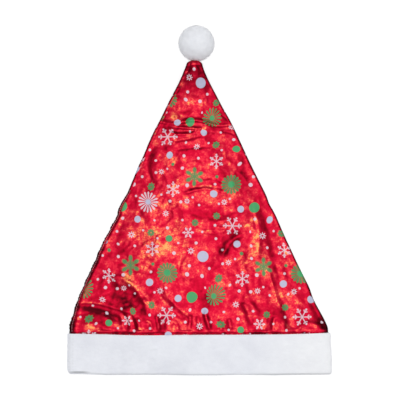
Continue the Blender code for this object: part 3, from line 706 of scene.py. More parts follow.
spots = np.empty(len(crown_data.vertices) * 3)
crown_data.vertices.foreach_get("co", spots)
spots = spots.reshape(-1, 3)
# Painted highlights and painted shade from the table, kept as a point attribute of the crown.
painted_light = np.zeros(len(spots))
for x, y, reach_x, reach_y, turn, light_or_shade in FOIL_PAINTED_LIGHT:
    middle_x, middle_y = photo_place(x, y)
    off_x = (spots[:, 0] - middle_x) / PHOTO_SCALE
    off_y = (middle_y - spots[:, 1]) / PHOTO_SCALE
    turned_x = off_x * math.cos(turn) + off_y * math.sin(turn)
    turned_y = off_y * math.cos(turn) - off_x * math.sin(turn)
    painted_light += light_or_shade * np.exp(-((turned_x / reach_x) ** 2) - (turned_y / reach_y) ** 2)
# The painted shadow along the brim's top edge.
into_brim = PHOTO_MIDDLE[1] - spots[:, 1] / PHOTO_SCALE - BRIM_PAINTED_SHADOW[0]
painted_light -= BRIM_PAINTED_SHADOW[2] * np.exp(-((into_brim / BRIM_PAINTED_SHADOW[1]) ** 2))
# The seam's allowance carries no print, and painted shade makes it darker.
seam_columns = np.zeros((row_count, around))
seam_columns[:, 0] = 1.0
seam_columns[:, 1 - EDGE_COLUMNS :] = 1.0
seam_columns[:, 1] = 0.5
seam_columns *= np.where(outer[:, :1, 1] < SEAM_PLAIN[0], 1.0, 0.0)
bare = np.zeros(len(spots))
bare[: row_count * around] = seam_columns.ravel()
# Painted shade on the seam's allowance.
painted_light[: row_count * around] -= SEAM_PAINTED_SHADE * seam_columns.ravel()
for x, y, reach in GATHERS:
    gather_x, gather_y = photo_place(x, y)
    off_x = (spots[:, 0] - gather_x) / GATHER_NARROW
    from_gather = np.hypot(off_x, spots[:, 1] - gather_y) / PHOTO_SCALE
    bare = np.maximum(bare, smooth_step(reach + 1 - from_gather))
crown_data.attributes.new("painted_light", "FLOAT", "POINT").data.foreach_set("value", painted_light)
crown_data.attributes.new("bare", "FLOAT", "POINT").data.foreach_set("value", bare)

# The repeat's motifs, as places and radii in the photo's pixels. Every row of the repeat is
# moved along by the second of its two steps.
REPEAT_ALONG = 134.5
REPEAT_STEP = (70.4, 89.3)
REPEAT_CORNER = (126.0, 190.5)
WHITE_DOTS = (
    # x, y, radius
    (202.9, 256.4, 5.5), (213.7, 193.8, 3.6), (240.9, 209.1, 3.4), (136.9, 219.5, 3.4),
    (236.8, 244.0, 3.6), (257.1, 274.6, 1.85), (160.6, 194.4, 1.15), (134.6, 197.0, 1.15),
    (192.8, 197.5, 1.15), (229.7, 198.9, 1.15), (169.4, 201.2, 1.55), (180.4, 202.0, 1.55),
    (218.8, 203.6, 1.15), (199.2, 205.1, 1.15), (255.8, 218.9, 1.55), (154.9, 220.2, 1.15),
    (182.2, 219.9, 1.15), (214.9, 225.3, 1.35), (142.9, 230.6, 1.15), (167.5, 227.8, 1.55),
    (202.1, 231.8, 1.15), (252.0, 231.1, 1.35), (157.3, 238.4, 1.15), (215.9, 238.5, 1.35),
    (178.0, 242.8, 1.15), (196.1, 242.9, 1.55), (252.0, 245.1, 1.55), (134.4, 246.6, 1.35),
    (222.3, 249.6, 1.35), (173.8, 253.1, 1.85), (252.0, 257.6, 1.55), (234.8, 259.1, 1.15),
    (222.8, 263.4, 1.35), (189.3, 265.7, 1.55), (209.5, 267.9, 1.35), (150.9, 272.7, 1.35),
    (202.0, 275.0, 1.85), (186.5, 274.1, 2.05),
)
GREEN_DOTS = ((254.8, 207.3, 5.3), (168.8, 238.4, 3.4))
PALE_GREEN_DOTS = ((152.7, 264.8, 1.6), (241.1, 253.7, 1.8))
WHITE_FLOWERS = (
    (190.9, 250.8, 3.6), (131.7, 234.8, 3.6), (228.3, 262.5, 3.0), (186.9, 201.3, 3.2),
    (224.1, 202.0, 3.2), (166.3, 213.4, 3.2),
)
GREEN_FLOWERS = (
    (219.8, 276.6, 4.0), (150.9, 232.9, 4.1), (216.5, 215.8, 3.9), (194.8, 222.7, 3.9),
)
ROW_COLOR_STARBURSTS = ((147.1, 202.4, 10.3),)
GREEN_STARBURSTS = ((167.1, 273.5, 10.3),)
FLAT_SNOWFLAKES = ((232.2, 225.5, 9.4),)
UPRIGHT_SNOWFLAKES = ((152.1, 249.5, 7.3), (242.4, 278.7, 7.5))
SMALL_SNOWFLAKES = ((187.9, 232.3, 5.7),)
GREEN_FLAKES = ((129.9, 265.7, 9.8),)

# The foil's colours, from deep painted shade through crimson to the orange of painted highlights.
FOIL_TONES_AND_PAINTED_LIGHT = (
    # share, colour
    (0.00, (0.090, 0.0003, 0.005, 1)),
    (0.20, (0.270, 0.0006, 0.012, 1)),
    (0.33, (0.430, 0.001, 0.018, 1)),
    (0.53, (0.540, 0.002, 0.028, 1)),
    (0.70, (0.650, 0.019, 0.044, 1)),
    (0.83, (0.750, 0.068, 0.060, 1)),
    (0.93, (0.850, 0.155, 0.078, 1)),
    (1.00, (0.950, 0.320, 0.105, 1)),
)
INK_GREEN = (0.030, 0.370, 0.125, 1)
INK_WHITE = (0.490, 0.520, 0.690, 1)
THIN_GREEN = (0.055, 0.250, 0.080, 1)
THIN_WHITE = (0.760, 0.600, 0.690, 1)
FULL_INK_FROM = 3.0
DOT_EDGE = 0.25
BRANCH_LEAN = math.radians(52)


class Wiring:
    """Short ways to add and join the nodes of one tree."""

    def __init__(self, tree):
        self.tree = tree

    def add(self, kind, values=(), output=0, **settings):
        """Adds a node and gives one of its outputs. Values go to sockets by place or name."""
        node = self.tree.nodes.new(kind)
        for name, value in settings.items():
            setattr(node, name, value)
        for socket, value in values.items() if isinstance(values, dict) else enumerate(values):
            if isinstance(value, bpy.types.NodeSocket):
                self.tree.links.new(value, node.inputs[socket])
            elif value is not None:
                node.inputs[socket].default_value = value
        return node.outputs[output] if node.outputs else None

    def math(self, operation, *values):
        return self.add("ShaderNodeMath", values, operation=operation)

    def vector(self, operation, *values, output=0):
        return self.add("ShaderNodeVectorMath", values, operation=operation, output=output)

    def parts(self, vector):
        """The parts of a vector along X, Y and Z."""
        return self.add("ShaderNodeSeparateXYZ", (vector,)).node.outputs

    def noise(self, place, scale, detail, roughness):
        return self.add("ShaderNodeTexNoise", (place, None, scale, detail, roughness))

    def mask(self, value, full, none):
        """1 where value is at full, 0 where it is at none, and a soft edge between."""
        return self.add("ShaderNodeMapRange", (value, none, full, 0.0, 1.0))

    def highest(self, *values):
        """The highest of several values."""
        return functools.reduce(functools.partial(self.math, "MAXIMUM"), values)

    def lowest(self, *values):
        """The lowest of several values."""
        return functools.reduce(functools.partial(self.math, "MINIMUM"), values)

    def mix(self, share, first, second):
        """A colour between two."""
        values = {0: share, 6: first, 7: second}
        return self.add("ShaderNodeMix", values, output=2, data_type="RGBA")

    def ramp(self, share, stops):
        """A colour along a row of (share, colour) stops."""
        color = self.add("ShaderNodeValToRGB", (share,))
        elements = color.node.color_ramp.elements
        while len(elements) < len(stops):
            elements.new(0.5)
        for element, (place, shade) in zip(elements, stops):
            element.position = place
            element.color = shade
        return color

    def effect(self, group, values):
        """A shared effect, placed with this material's own values; gives its outputs."""
        return self.add("ShaderNodeGroup", values, node_tree=group).node.outputs

    def surface(self, values):
        """The one shader of a material, with its values by name."""
        self.add("ShaderNodeOutputMaterial", (self.add("ShaderNodeBsdfPrincipled", values),))


def empty_tree(holder):
    """The wiring of a material's or world's own tree, with nothing in it yet."""
    holder.use_nodes = True
    holder.node_tree.nodes.clear()
    return Wiring(holder.node_tree)


def new_group(name, kind, inputs, outputs):
    """An empty node group with named sockets: its wiring, and what is given to it."""
    group = bpy.data.node_groups.new(name, kind)
    for in_out, sockets in (("INPUT", inputs), ("OUTPUT", outputs)):
        for label, socket in sockets.items():
            group.interface.new_socket(label, in_out=in_out, socket_type="NodeSocket" + socket)
    return Wiring(group), group.nodes.new("NodeGroupInput").outputs


def copies_in_repeat(motifs):
    """Every copy of the motifs that reaches into the repeat's first cell."""
    found = []
    for x, y, radius in motifs:
        for along in (-2, -1, 0, 1, 2):
            for up in (-1, 0, 1):
                left = x + along * REPEAT_ALONG + up * REPEAT_STEP[0] - REPEAT_CORNER[0]
                top = y + up * REPEAT_STEP[1] - REPEAT_CORNER[1]
                inside_x = -radius < left < REPEAT_ALONG + radius
                inside_y = -radius < top < REPEAT_STEP[1] + radius
                if inside_x and inside_y:
                    found.append((left, top, radius))
    return found


def nearest_distance(wire, place, spots):
    """How far a place is from the nearest of the spots."""
    return wire.lowest(
        *(wire.vector("DISTANCE", place, (x, y, 0), output=1) for x, y, _ in spots)
    )


def nearest_motif(wire, place, motifs):
    """A place as seen from the nearest motif's middle, in shares of its radius."""
    best = None
    for x, y, radius in copies_in_repeat(motifs):
        middle = (-x / radius, -y / radius, 0)
        seen = wire.vector("MULTIPLY_ADD", place, (1 / radius,) * 3, middle)
        distance = wire.vector("LENGTH", seen, output=1)
        if best is None:
            best, best_distance = seen, distance
            continue
        closer = wire.math("LESS_THAN", distance, best_distance)
        values = {0: closer, 4: best, 5: seen}
        best = wire.add("ShaderNodeMix", values, output=1, data_type="VECTOR")
        best_distance = wire.math("MINIMUM", best_distance, distance)
    return best, best_distance


def turned_angle(wire, seen):
    """The angle of a place round a motif's middle."""
    x, y, _ = wire.parts(seen)
    return wire.math("ARCTAN2", y, x)


def folded_sixth(wire, seen, distance, turn):
    """A place folded onto one arm of a six-armed motif: how far along it and beside it."""
    sixth = math.pi / 3
    angle = wire.math("ADD", turned_angle(wire, seen), turn + sixth / 2 + 6 * sixth)
    angle = wire.math("SUBTRACT", wire.math("MODULO", angle, sixth), sixth / 2)
    angle = wire.math("ABSOLUTE", angle)
    along = wire.math("MULTIPLY", distance, wire.math("COSINE", angle))
    aside = wire.math("MULTIPLY", distance, wire.math("SINE", angle))
    return wire.add("ShaderNodeCombineXYZ", (along, aside))


def dots(wire, place, motifs):
    """Plain dots, grouped by their radius."""
    masks = []
    for size in sorted({radius for _, _, radius in motifs}):
        spots = [spot for spot in copies_in_repeat(motifs) if spot[2] == size]
        distance = nearest_distance(wire, place, spots)
        masks.append(wire.mask(distance, size - DOT_EDGE, size + DOT_EDGE))
    return wire.highest(*masks)


def flowers(wire, place, motifs, notch, hole):
    """Flowers of eight narrow petals, notched between, round a middle that may be open."""
    seen, distance = nearest_motif(wire, place, motifs)
    petals = wire.math("COSINE", wire.math("MULTIPLY", turned_angle(wire, seen), 8.0))
    rim = wire.math("MULTIPLY_ADD", petals, notch, 1.0 - notch)
    outside = wire.math("SUBTRACT", distance, rim)
    petals = wire.mask(outside, -0.10, 0.06)
    return wire.math("MULTIPLY", petals, wire.mask(distance, hole, hole - 0.12))


def starbursts(wire, place, motifs, gap, middle):
    """Round bursts of sixteen wedges, and their solid middles, as two masks."""
    seen, distance = nearest_motif(wire, place, motifs)
    angle = turned_angle(wire, seen)
    wedge = wire.math("ABSOLUTE", wire.math("SINE", wire.math("MULTIPLY", angle, 8.0)))
    wedges = wire.mask(wedge, 1.0 - gap - 0.25, 1.0 - gap)
    rounding = wire.math("MULTIPLY_ADD", wedge, -0.12, 1.02)
    rim = wire.mask(wire.math("SUBTRACT", distance, rounding), -0.05, 0.04)
    solid = wire.mask(distance, middle - 0.05, middle + 0.05)
    return wire.math("MULTIPLY", wedges, rim), solid


def off_oval(wire, spot, at, squeeze, radius):
    """How far a spot is outside an oval on the arm, which is squeezed along it."""
    off = wire.vector("MULTIPLY", wire.vector("SUBTRACT", spot, (at, 0, 0)), (squeeze, 1, 0))
    return wire.math("SUBTRACT", wire.vector("LENGTH", off, output=1), radius)


def off_round(wire, spot, at, radius):
    """How far a spot is outside a disc."""
    return wire.math("SUBTRACT", wire.vector("DISTANCE", spot, at, output=1), radius)


def petals(wire, place, motifs):
    """Upright flakes of six leaf-shaped petals, with small leaves between them at the middle."""
    seen, distance = nearest_motif(wire, place, motifs)
    spot = folded_sixth(wire, seen, distance, math.pi / 2)
    between = (0.34 * math.cos(math.pi / 6), 0.34 * math.sin(math.pi / 6), 0)
    whole = wire.lowest(
        off_oval(wire, spot, 0.69, 0.66, 0.20),
        off_oval(wire, spot, 0.30, 0.25, 0.10),
        wire.math("SUBTRACT", distance, 0.22),
        off_round(wire, spot, between, 0.10),
    )
    return wire.mask(whole, -0.06, 0.05)


def flakes(wire, place, motifs, turn, arm, tip, tip_at, branch, branch_at, branch_long):
    """Six-armed flakes: an arm with a round tip and two side branches, all as shares."""
    seen, distance = nearest_motif(wire, place, motifs)
    spot = folded_sixth(wire, seen, distance, turn)
    along, aside, _ = wire.parts(spot)
    arms = wire.highest(
        wire.math("SUBTRACT", aside, arm), wire.math("SUBTRACT", along, tip_at)
    )
    ahead = (math.cos(BRANCH_LEAN), math.sin(BRANCH_LEAN), 0)
    across = (-math.sin(BRANCH_LEAN), math.cos(BRANCH_LEAN), 0)
    from_root = wire.vector("SUBTRACT", spot, (branch_at, 0, 0))
    run = wire.vector("DOT_PRODUCT", from_root, ahead, output=1)
    off = wire.math("ABSOLUTE", wire.vector("DOT_PRODUCT", from_root, across, output=1))
    side = wire.highest(
        wire.math("SUBTRACT", off, branch), wire.math("SUBTRACT", run, branch_long),
        wire.math("MULTIPLY", run, -1.0),
    )
    whole = wire.lowest(arms, off_round(wire, spot, (tip_at, 0, 0), tip), side)
    return wire.mask(whole, -0.03, 0.035)


foil = bpy.data.materials.new("foil_cloth")
wire = empty_tree(foil)
chart_uv = wire.add("ShaderNodeUVMap", uv_map="cloth")
in_pixels = wire.vector(
    "MULTIPLY_ADD", chart_uv, (1 / PHOTO_SCALE, -1 / PHOTO_SCALE, 0),
    (PHOTO_MIDDLE[0] - REPEAT_CORNER[0], PHOTO_MIDDLE[1] - REPEAT_CORNER[1], 0),
)
pixel_x, pixel_y, _ = wire.parts(in_pixels)
repeat_row = wire.math("FLOOR", wire.math("DIVIDE", pixel_y, REPEAT_STEP[1]))
cell_y = wire.math("SUBTRACT", pixel_y, wire.math("MULTIPLY", repeat_row, REPEAT_STEP[1]))
row_x = wire.math("SUBTRACT", pixel_x, wire.math("MULTIPLY", repeat_row, REPEAT_STEP[0]))
cell_x = wire.math("FLOORED_MODULO", row_x, REPEAT_ALONG)
cell = wire.add("ShaderNodeCombineXYZ", (cell_x, cell_y))
odd_row = wire.math("FLOORED_MODULO", repeat_row, 2.0)
even_row = wire.math("SUBTRACT", 1.0, odd_row)

row_rays, row_middles = starbursts(wire, cell, ROW_COLOR_STARBURSTS, 0.12, 0.26)
burst_rays, burst_middles = starbursts(wire, cell, GREEN_STARBURSTS, -0.04, 0.33)
full_green = wire.highest(
    dots(wire, cell, GREEN_DOTS), burst_middles, wire.math("MULTIPLY", row_middles, odd_row)
)
thin_green = wire.highest(
    flowers(wire, cell, GREEN_FLOWERS, 0.14, 0.21), burst_rays,
    wire.math("MULTIPLY", row_rays, odd_row),
    petals(wire, cell, GREEN_FLAKES), dots(wire, cell, PALE_GREEN_DOTS),
)
full_white = wire.highest(
    wire.math("MULTIPLY", row_middles, even_row),
    dots(wire, cell, [spot for spot in WHITE_DOTS if spot[2] >= FULL_INK_FROM]),
)
thin_white = wire.highest(
    dots(wire, cell, [spot for spot in WHITE_DOTS if spot[2] < FULL_INK_FROM]),
    flowers(wire, cell, WHITE_FLOWERS, 0.26, 0.34),
    wire.math("MULTIPLY", row_rays, even_row),
    *(flakes(wire, cell, *row) for row in (
        # motifs, turn, arm, tip, tip at, branch, branch at, branch long
        (FLAT_SNOWFLAKES, 0.0, 0.046, 0.100, 0.90, 0.050, 0.58, 0.28),
        (UPRIGHT_SNOWFLAKES, math.pi / 2, 0.056, 0.120, 0.88, 0.060, 0.55, 0.28),
        (SMALL_SNOWFLAKES, 0.0, 0.066, 0.140, 0.86, 0.070, 0.52, 0.27),
    )),
)

coordinates = wire.add("ShaderNodeTexCoord").node.outputs
object_place = coordinates["Object"]
grain = wire.noise(object_place, 1500.0, 1.0, 0.5)
glitter = wire.noise(object_place, 560.0, 2.0, 0.6)
blotch = wire.noise(object_place, 60.0, 3.0, 0.6)
fleck = wire.noise(object_place, 190.0, 2.0, 0.5)
# Painted light: the foil is painted warmer and brighter where it faces straight up, deeper where
# it slopes.
painted_top_light = wire.mask(wire.parts(coordinates["Normal"])[2], 0.992, 0.90)
# The table's painted highlights and painted shade, read back from the crown.
attribute_of_painted_light = wire.add("ShaderNodeAttribute", attribute_name="painted_light", output=2)
hue_with_painted_shading = wire.math("MULTIPLY_ADD", painted_top_light, 0.45, -1.11)
hue_with_painted_shading = wire.math("MULTIPLY_ADD", fleck, 1.0, hue_with_painted_shading)
hue_with_painted_shading = wire.math("MULTIPLY_ADD", blotch, 1.40, hue_with_painted_shading)
hue_with_painted_shading = wire.math("ADD", hue_with_painted_shading, attribute_of_painted_light)
sparkle = wire.math("MULTIPLY_ADD", glitter, 1.35, -0.95)
sparkle = wire.math("MULTIPLY_ADD", grain, 0.55, sparkle)
# The glitter shows more in the painted highlights.
sparkle_share = wire.math("MULTIPLY_ADD", wire.mask(hue_with_painted_shading, 0.85, 0.10), 0.85, 0.18)
hue_with_painted_shading = wire.math("MULTIPLY_ADD", sparkle, sparkle_share, hue_with_painted_shading)
foil_color = wire.ramp(wire.math("MULTIPLY_ADD", hue_with_painted_shading, 0.667, 0.333), FOIL_TONES_AND_PAINTED_LIGHT)

# The print stops at the seam's allowance, and is lost in the gathers beside the tip. Where a
# stroke of ink is thin, the foil shines through it.
bare_here = wire.add("ShaderNodeAttribute", attribute_name="bare", output=2)
printed = wire.math("SUBTRACT", 1.0, bare_here)
inked = []
for ink, cover, color, matt in (
    (thin_green, 0.93, THIN_GREEN, 0.85),
    (full_green, 0.95, INK_GREEN, 1.0),
    (thin_white, 0.88, THIN_WHITE, 0.90),
    (full_white, 0.94, INK_WHITE, 1.0),
):
    ink = wire.math("MULTIPLY", ink, printed)
    foil_color = wire.mix(wire.math("MULTIPLY", ink, cover), foil_color, color)
    inked.append(wire.math("MULTIPLY", ink, matt))
inked = wire.highest(*inked)
wire.surface({
    "Base Color": foil_color,
    "Metallic": wire.math("MULTIPLY_ADD", inked, -0.80, 0.94),
    "Roughness": wire.math("MULTIPLY_ADD", inked, 0.16, 0.34),
    "Normal": wire.add("ShaderNodeBump", {
        "Strength": 0.30, "Distance": 0.0004, "Height": glitter,
    }),
})
crown_data.materials.append(foil)

# The cloth's back is a dull pink-red knit, without foil or print.
KNIT_DEEP = (0.30, 0.012, 0.022, 1)
KNIT_LIGHT = (0.46, 0.035, 0.05, 1)
knit_back = bpy.data.materials.new("knit_back")
wire = empty_tree(knit_back)
object_place = wire.add("ShaderNodeTexCoord").node.outputs["Object"]
stretched = wire.vector("MULTIPLY", object_place, (1.0, 0.35, 1.0))
loops_of_knit = wire.noise(stretched, 1400.0, 2.0, 0.5)
wire.surface({
    "Base Color": wire.mix(wire.mask(loops_of_knit, 0.62, 0.38), KNIT_DEEP, KNIT_LIGHT),
    "Roughness": 0.85,
    "Normal": wire.add("ShaderNodeBump", {
        "Strength": 0.5, "Distance": 0.0003, "Height": loops_of_knit,
    }),
})
crown_data.materials.append(knit_back)


# Side seam
# The crown's left edge is sewn from the inside of its fold and overlocked: a narrow ragged
# allowance stands out beside the seam, with pale thread over it in its lower half.

THREAD_SPACING = 0.0021
THREAD_LENGTH = 0.0012
THREAD_THICKNESS = 0.00023
THREAD_COLOR = (0.74, 0.36, 0.41, 1)


def painted_end(wire, instances, material):
    """Ends a tree: its instances are made real and get their material."""
    real = wire.add("GeometryNodeRealizeInstances", (instances,))
    painted = wire.add("GeometryNodeSetMaterial", {"Geometry": real, "Material": material})
    wire.add("NodeGroupOutput", (painted,))


# Lays a short rod of thread on each point, turned a little at random.
wire, given = new_group(
    "stitches", "GeometryNodeTree",
    {"Geometry": "Geometry", "Length": "Float", "Thickness": "Float", "Turn": "Float",
     "Slant": "Float", "Material": "Material"},
    {"Geometry": "Geometry"},
)
rod = wire.add("GeometryNodeMeshCylinder", {
    "Vertices": 6, "Radius": given["Thickness"], "Depth": given["Length"],
})
lying = (0.0, math.pi / 2, 0.0)
rod = wire.add("GeometryNodeTransform", {"Geometry": rod, "Rotation": lying})
least = wire.math("SUBTRACT", given["Turn"], given["Slant"])
most = wire.math("ADD", given["Turn"], given["Slant"])
stray = wire.add(
    "FunctionNodeRandomValue", {2: least, 3: most, "Seed": 3}, output=1, data_type="FLOAT"
)
put = wire.add("GeometryNodeInstanceOnPoints", {
    "Points": given["Geometry"], "Instance": rod,
    "Rotation": wire.add("ShaderNodeCombineXYZ", (None, None, stray)),
})
painted_end(wire, put, given["Material"])
STITCHES = wire.tree


def plain_result(name, source_data, tree, values):
    """A plain mesh object of what a node tree makes from a mesh."""
    carrier = scene_object(name + "_carrier", source_data)
    modifier = carrier.modifiers.new(name, "NODES")
    modifier.node_group = tree
    for item in tree.interface.items_tree:
        if item.item_type == "SOCKET" and item.in_out == "INPUT" and item.name in values:
            modifier[item.identifier] = values[item.name]
    bpy.context.view_layer.update()
    evaluated = carrier.evaluated_get(bpy.context.evaluated_depsgraph_get())
    data = bpy.data.meshes.new_from_object(evaluated)
    data.name = name
    bpy.data.objects.remove(carrier)
    return scene_object(name, data)


# Spun thread is a little uneven in its shade.
wire, given = new_group(
    "spun_shade", "ShaderNodeTree",
    {"Place": "Vector", "Spun Scale": "Float", "Color": "Color"},
    {"Color": "Color"},
)
spun = wire.noise(given["Place"], given["Spun Scale"], 2.0, 0.5)
darker = wire.vector("MULTIPLY", given["Color"], (0.6, 0.6, 0.6))
wire.add("NodeGroupOutput", (wire.mix(spun, darker, given["Color"]),))
SPUN_SHADE = wire.tree


def thread_material(name, color):
    """Matt spun thread."""
    material = bpy.data.materials.new(name)
    wire = empty_tree(material)
    place = wire.add("ShaderNodeTexCoord").node.outputs["Object"]
    spun = wire.effect(SPUN_SHADE, {"Place": place, "Spun Scale": 2200.0, "Color": color})
    wire.surface({"Base Color": spun["Color"], "Roughness": 0.75})
    return material


seam_line = outer[: -TIP_ROWS, -1]
seam_line = seam_line[(seam_line[:, 1] > BRIM_TOP + 0.001) & (seam_line[:, 1] < SEAM_PLAIN[0])]
seam_steps = np.linalg.norm(np.diff(seam_line, axis=0), axis=1)
seam_run = np.concatenate(((0.0,), np.cumsum(seam_steps)))
marks = np.arange(0.0, seam_run[-1], THREAD_SPACING)
thread_points = np.stack([np.interp(marks, seam_run, line) for line in seam_line.T], axis=1)
thread_data = bpy.data.meshes.new("seam_points")
thread_data.from_pydata(thread_points.tolist(), [], [])
seam_thread = plain_result("seam_thread", thread_data, STITCHES, {
    "Length": THREAD_LENGTH, "Thickness": THREAD_THICKNESS, "Turn": 1.1, "Slant": 0.5,
    "Material": thread_material("seam_thread", THREAD_COLOR),
})
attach(seam_thread, "root")
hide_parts("crown")


# Brim
# A strip of white plush with a short brushed pile, folded double round the crown's hem: one
# ply lies outside the hem and one inside, and the fold is the mouth's edge. It is sewn up
# near its left edge, and the soft plies ripple a little along their length. Light is painted
# on the plush, brighter towards the right end, with painted shade along its folded edge.

BRIM_TURN_IN = 0.0420
BRIM_LIP_ROUND = 0.0009
BRIM_HEM_CLOTH = 0.0012
BRIM_CORNER = 0.0044
BRIM_LIP_ROWS = 4
BRIM_FACE_ROWS = 46
BRIM_FOLD_ROWS = 10
BRIM_BACK_ROWS = 14
BRIM_COLUMNS = (200, 10, 60)

# Where the brim's two edges run in the photo, in its pixels.
BRIM_TOP_EDGE = np.array((
    # x, y
    (60, 333.8), (82, 333.9), (106, 334.3), (130, 335.0), (154, 335.1), (178, 334.6),
    (214, 334.4), (262, 334.3), (286, 334.2), (310, 333.7), (322, 333.2), (336, 332.9),
))
BRIM_LOW_EDGE = np.array((
    (60, 374.0), (82, 374.2), (106, 374.8), (142, 374.4), (166, 374.3), (190, 374.9),
    (214, 374.8), (238, 374.3), (262, 374.6), (274, 375.1), (286, 374.7), (336, 374.6),
))
BRIM_CREASES = (
    # x, y, x, y, x, y, wide, high at the start, high at the end, lean
    (155, 349, 150, 355, 147, 366, 2.0, -0.85, -0.75, 0.3),
    (69, 371.8, 80, 372.0, 92, 372.6, 0.8, -1.5, -1.1, 0.0),
    (152, 347, 160, 355, 156, 366, 3.6, 0.40, 0.30, 0.0),
    (96, 338, 100, 352, 98, 372, 5.0, 0.30, -0.30, 0.0),
    (118, 340, 122, 352, 121, 370, 4.0, -0.25, -0.35, 0.0),
    (186, 337, 190, 356, 187, 374, 5.0, -0.30, -0.30, 0.0),
    (216, 338, 220, 350, 232, 362, 4.0, 0.30, 0.20, 0.0),
    (240, 340, 246, 356, 244, 373, 3.4, -0.35, -0.40, 0.2),
    (262, 338, 264, 352, 275, 372, 4.0, 0.35, 0.35, 0.0),
    (290, 336, 288, 352, 294, 372, 3.6, -0.35, -0.35, 0.0),
    (306, 340, 312, 354, 311, 370, 3.0, 0.30, 0.25, 0.0),
    (72.5, 334, 72.8, 354, 73.0, 374, 1.0, -0.95, -0.95, 0.0),
)


def brim_profile():
    """The cut brim as (y, outwards) points, round its two plies."""
    face = FIT_GAP + BRIM_PLY
    channel_back = -BRIM_HEM_CLOTH - FIT_GAP
    back = channel_back - BRIM_PLY
    middle = (face + back) / 2
    fold_radius = (face - back) / 2
    channel_radius = fold_radius - BRIM_PLY
    fold_y = MOUTH + fold_radius
    turn_in = MOUTH + BRIM_TURN_IN
    hem = BRIM_TOP - HEM_DEPTH
    points = [(BRIM_TOP, FIT_GAP)]
    for step in range(BRIM_LIP_ROWS + 1):
        turn = math.pi / 2 * step / BRIM_LIP_ROWS
        points.append((BRIM_TOP - BRIM_LIP_ROUND * (1 - math.cos(turn)),
                       face - BRIM_LIP_ROUND * (1 - math.sin(turn))))
    start = BRIM_TOP - BRIM_LIP_ROUND
    for row in range(1, BRIM_FACE_ROWS):
        points.append((start + (fold_y - start) * row / BRIM_FACE_ROWS, face))
    for step in range(BRIM_FOLD_ROWS + 1):
        turn = math.pi * step / BRIM_FOLD_ROWS
        points.append((fold_y - fold_radius * math.sin(turn),
                       middle + fold_radius * math.cos(turn)))
    for row in range(1, BRIM_BACK_ROWS + 1):
        points.append((fold_y + (turn_in - fold_y) * row / BRIM_BACK_ROWS, back))
    points.append((turn_in, channel_back))
    points.append((hem, channel_back))
    for step in range(BRIM_FOLD_ROWS + 1):
        turn = math.pi * (1 - step / BRIM_FOLD_ROWS)
        points.append((fold_y - channel_radius * math.sin(turn),
                       middle + channel_radius * math.cos(turn)))
    points.append((hem, FIT_GAP))
    return np.array(points)


def no_height(x, y):
    """A smooth arch with nothing added."""
    return np.zeros_like(x)


profile = brim_profile()
profile_y = profile[:, 0]
face_share = smooth_step((profile[:, 1] - (FIT_GAP + BRIM_PLY * 0.4)) / (BRIM_PLY * 0.5))[:, None]
loops = cloth_loops(profile_y, BRIM_COLUMNS, no_height)
across = loops[:, :, 0]
along = np.broadcast_to(profile_y[:, None], across.shape)
upper_side = smooth_step((loops[:, :, 1] - 0.012) / 0.012)
undulation = 0.50 * MM * wave_field(across, along, 0.090, 0.030, 12, 31)
pile = 0.07 * MM * wave_field(across, along, 0.0100, 0.0036, 24, 37)
creases = crease_field(across, along, BRIM_CREASES)
relief = (creases * upper_side + pile + undulation * 0.6) * face_share
outwards = profile[:, 1][:, None] + relief
points = moved_loops(loops, outwards[:, :, None])
photo_x = points[:, :, 0] / PHOTO_SCALE + PHOTO_MIDDLE[0]
down = np.clip((BRIM_TOP - along) / (BRIM_TOP - MOUTH), 0, 1)
top_pixel = np.interp(photo_x, BRIM_TOP_EDGE[:, 0], BRIM_TOP_EDGE[:, 1])
low_pixel = np.interp(photo_x, BRIM_LOW_EDGE[:, 0], BRIM_LOW_EDGE[:, 1])
top_shift = (PHOTO_MIDDLE[1] - top_pixel) * PHOTO_SCALE - BRIM_TOP
low_shift = (PHOTO_MIDDLE[1] - low_pixel) * PHOTO_SCALE - MOUTH
top_share = np.maximum(face_share, (profile_y > BRIM_TOP - BRIM_PLY)[:, None])
shift = top_shift * (1 - smooth_step(down * 1.4)) * top_share
shift = shift + low_shift * smooth_step(down * 1.6 - 0.6)
from_left = np.clip(points[:, :, 0] - points[:, :, 0].min(), 0, BRIM_CORNER)
corner = BRIM_CORNER - np.sqrt(BRIM_CORNER**2 - (BRIM_CORNER - from_left) ** 2)
shift = shift + corner * smooth_step(down * 3 - 2)
resting = np.maximum(points[:, :, 1], 0.0)
brim_points = np.stack((points[:, :, 0], along + shift, resting), axis=2)


def ring_mesh(name, rows):
    """A closed mesh from rows of points that go round, the last row joined to the first."""
    mesh = bmesh.new()
    made = [[mesh.verts.new(p) for p in row] for row in rows]
    for row, ring in enumerate(made):
        following = made[(row + 1) % len(made)]
        for column, after in round_trip(len(ring)):
            corners = (ring[column], following[column], following[after], ring[after])
            face = mesh.faces.new(corners)
            face.smooth = True
    bmesh.ops.recalc_face_normals(mesh, faces=mesh.faces[:])
    return mesh_data(name, mesh)


brim_data = ring_mesh("brim_plush", brim_points)
brim_plush = scene_object("brim_plush", brim_data)
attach(brim_plush, "root")
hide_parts("brim")


# Plush has soft patches of shade and a fine pile.
wire, given = new_group(
    "plush_shade", "ShaderNodeTree",
    {"Place": "Vector", "Patch Scale": "Float", "Pile Scale": "Float", "Light": "Color",
     "Shade": "Color"},
    {"Color": "Color", "Pile": "Float"},
)
patches = wire.noise(given["Place"], given["Patch Scale"], 3.0, 0.6)
pile = wire.noise(given["Place"], given["Pile Scale"], 3.0, 0.65)
shaded = wire.math("MULTIPLY_ADD", pile, 0.5, patches)
plush_color = wire.mix(wire.mask(shaded, 0.55, 1.0), given["Shade"], given["Light"])
wire.add("NodeGroupOutput", {"Color": plush_color, "Pile": pile})
PLUSH_SHADE = wire.tree


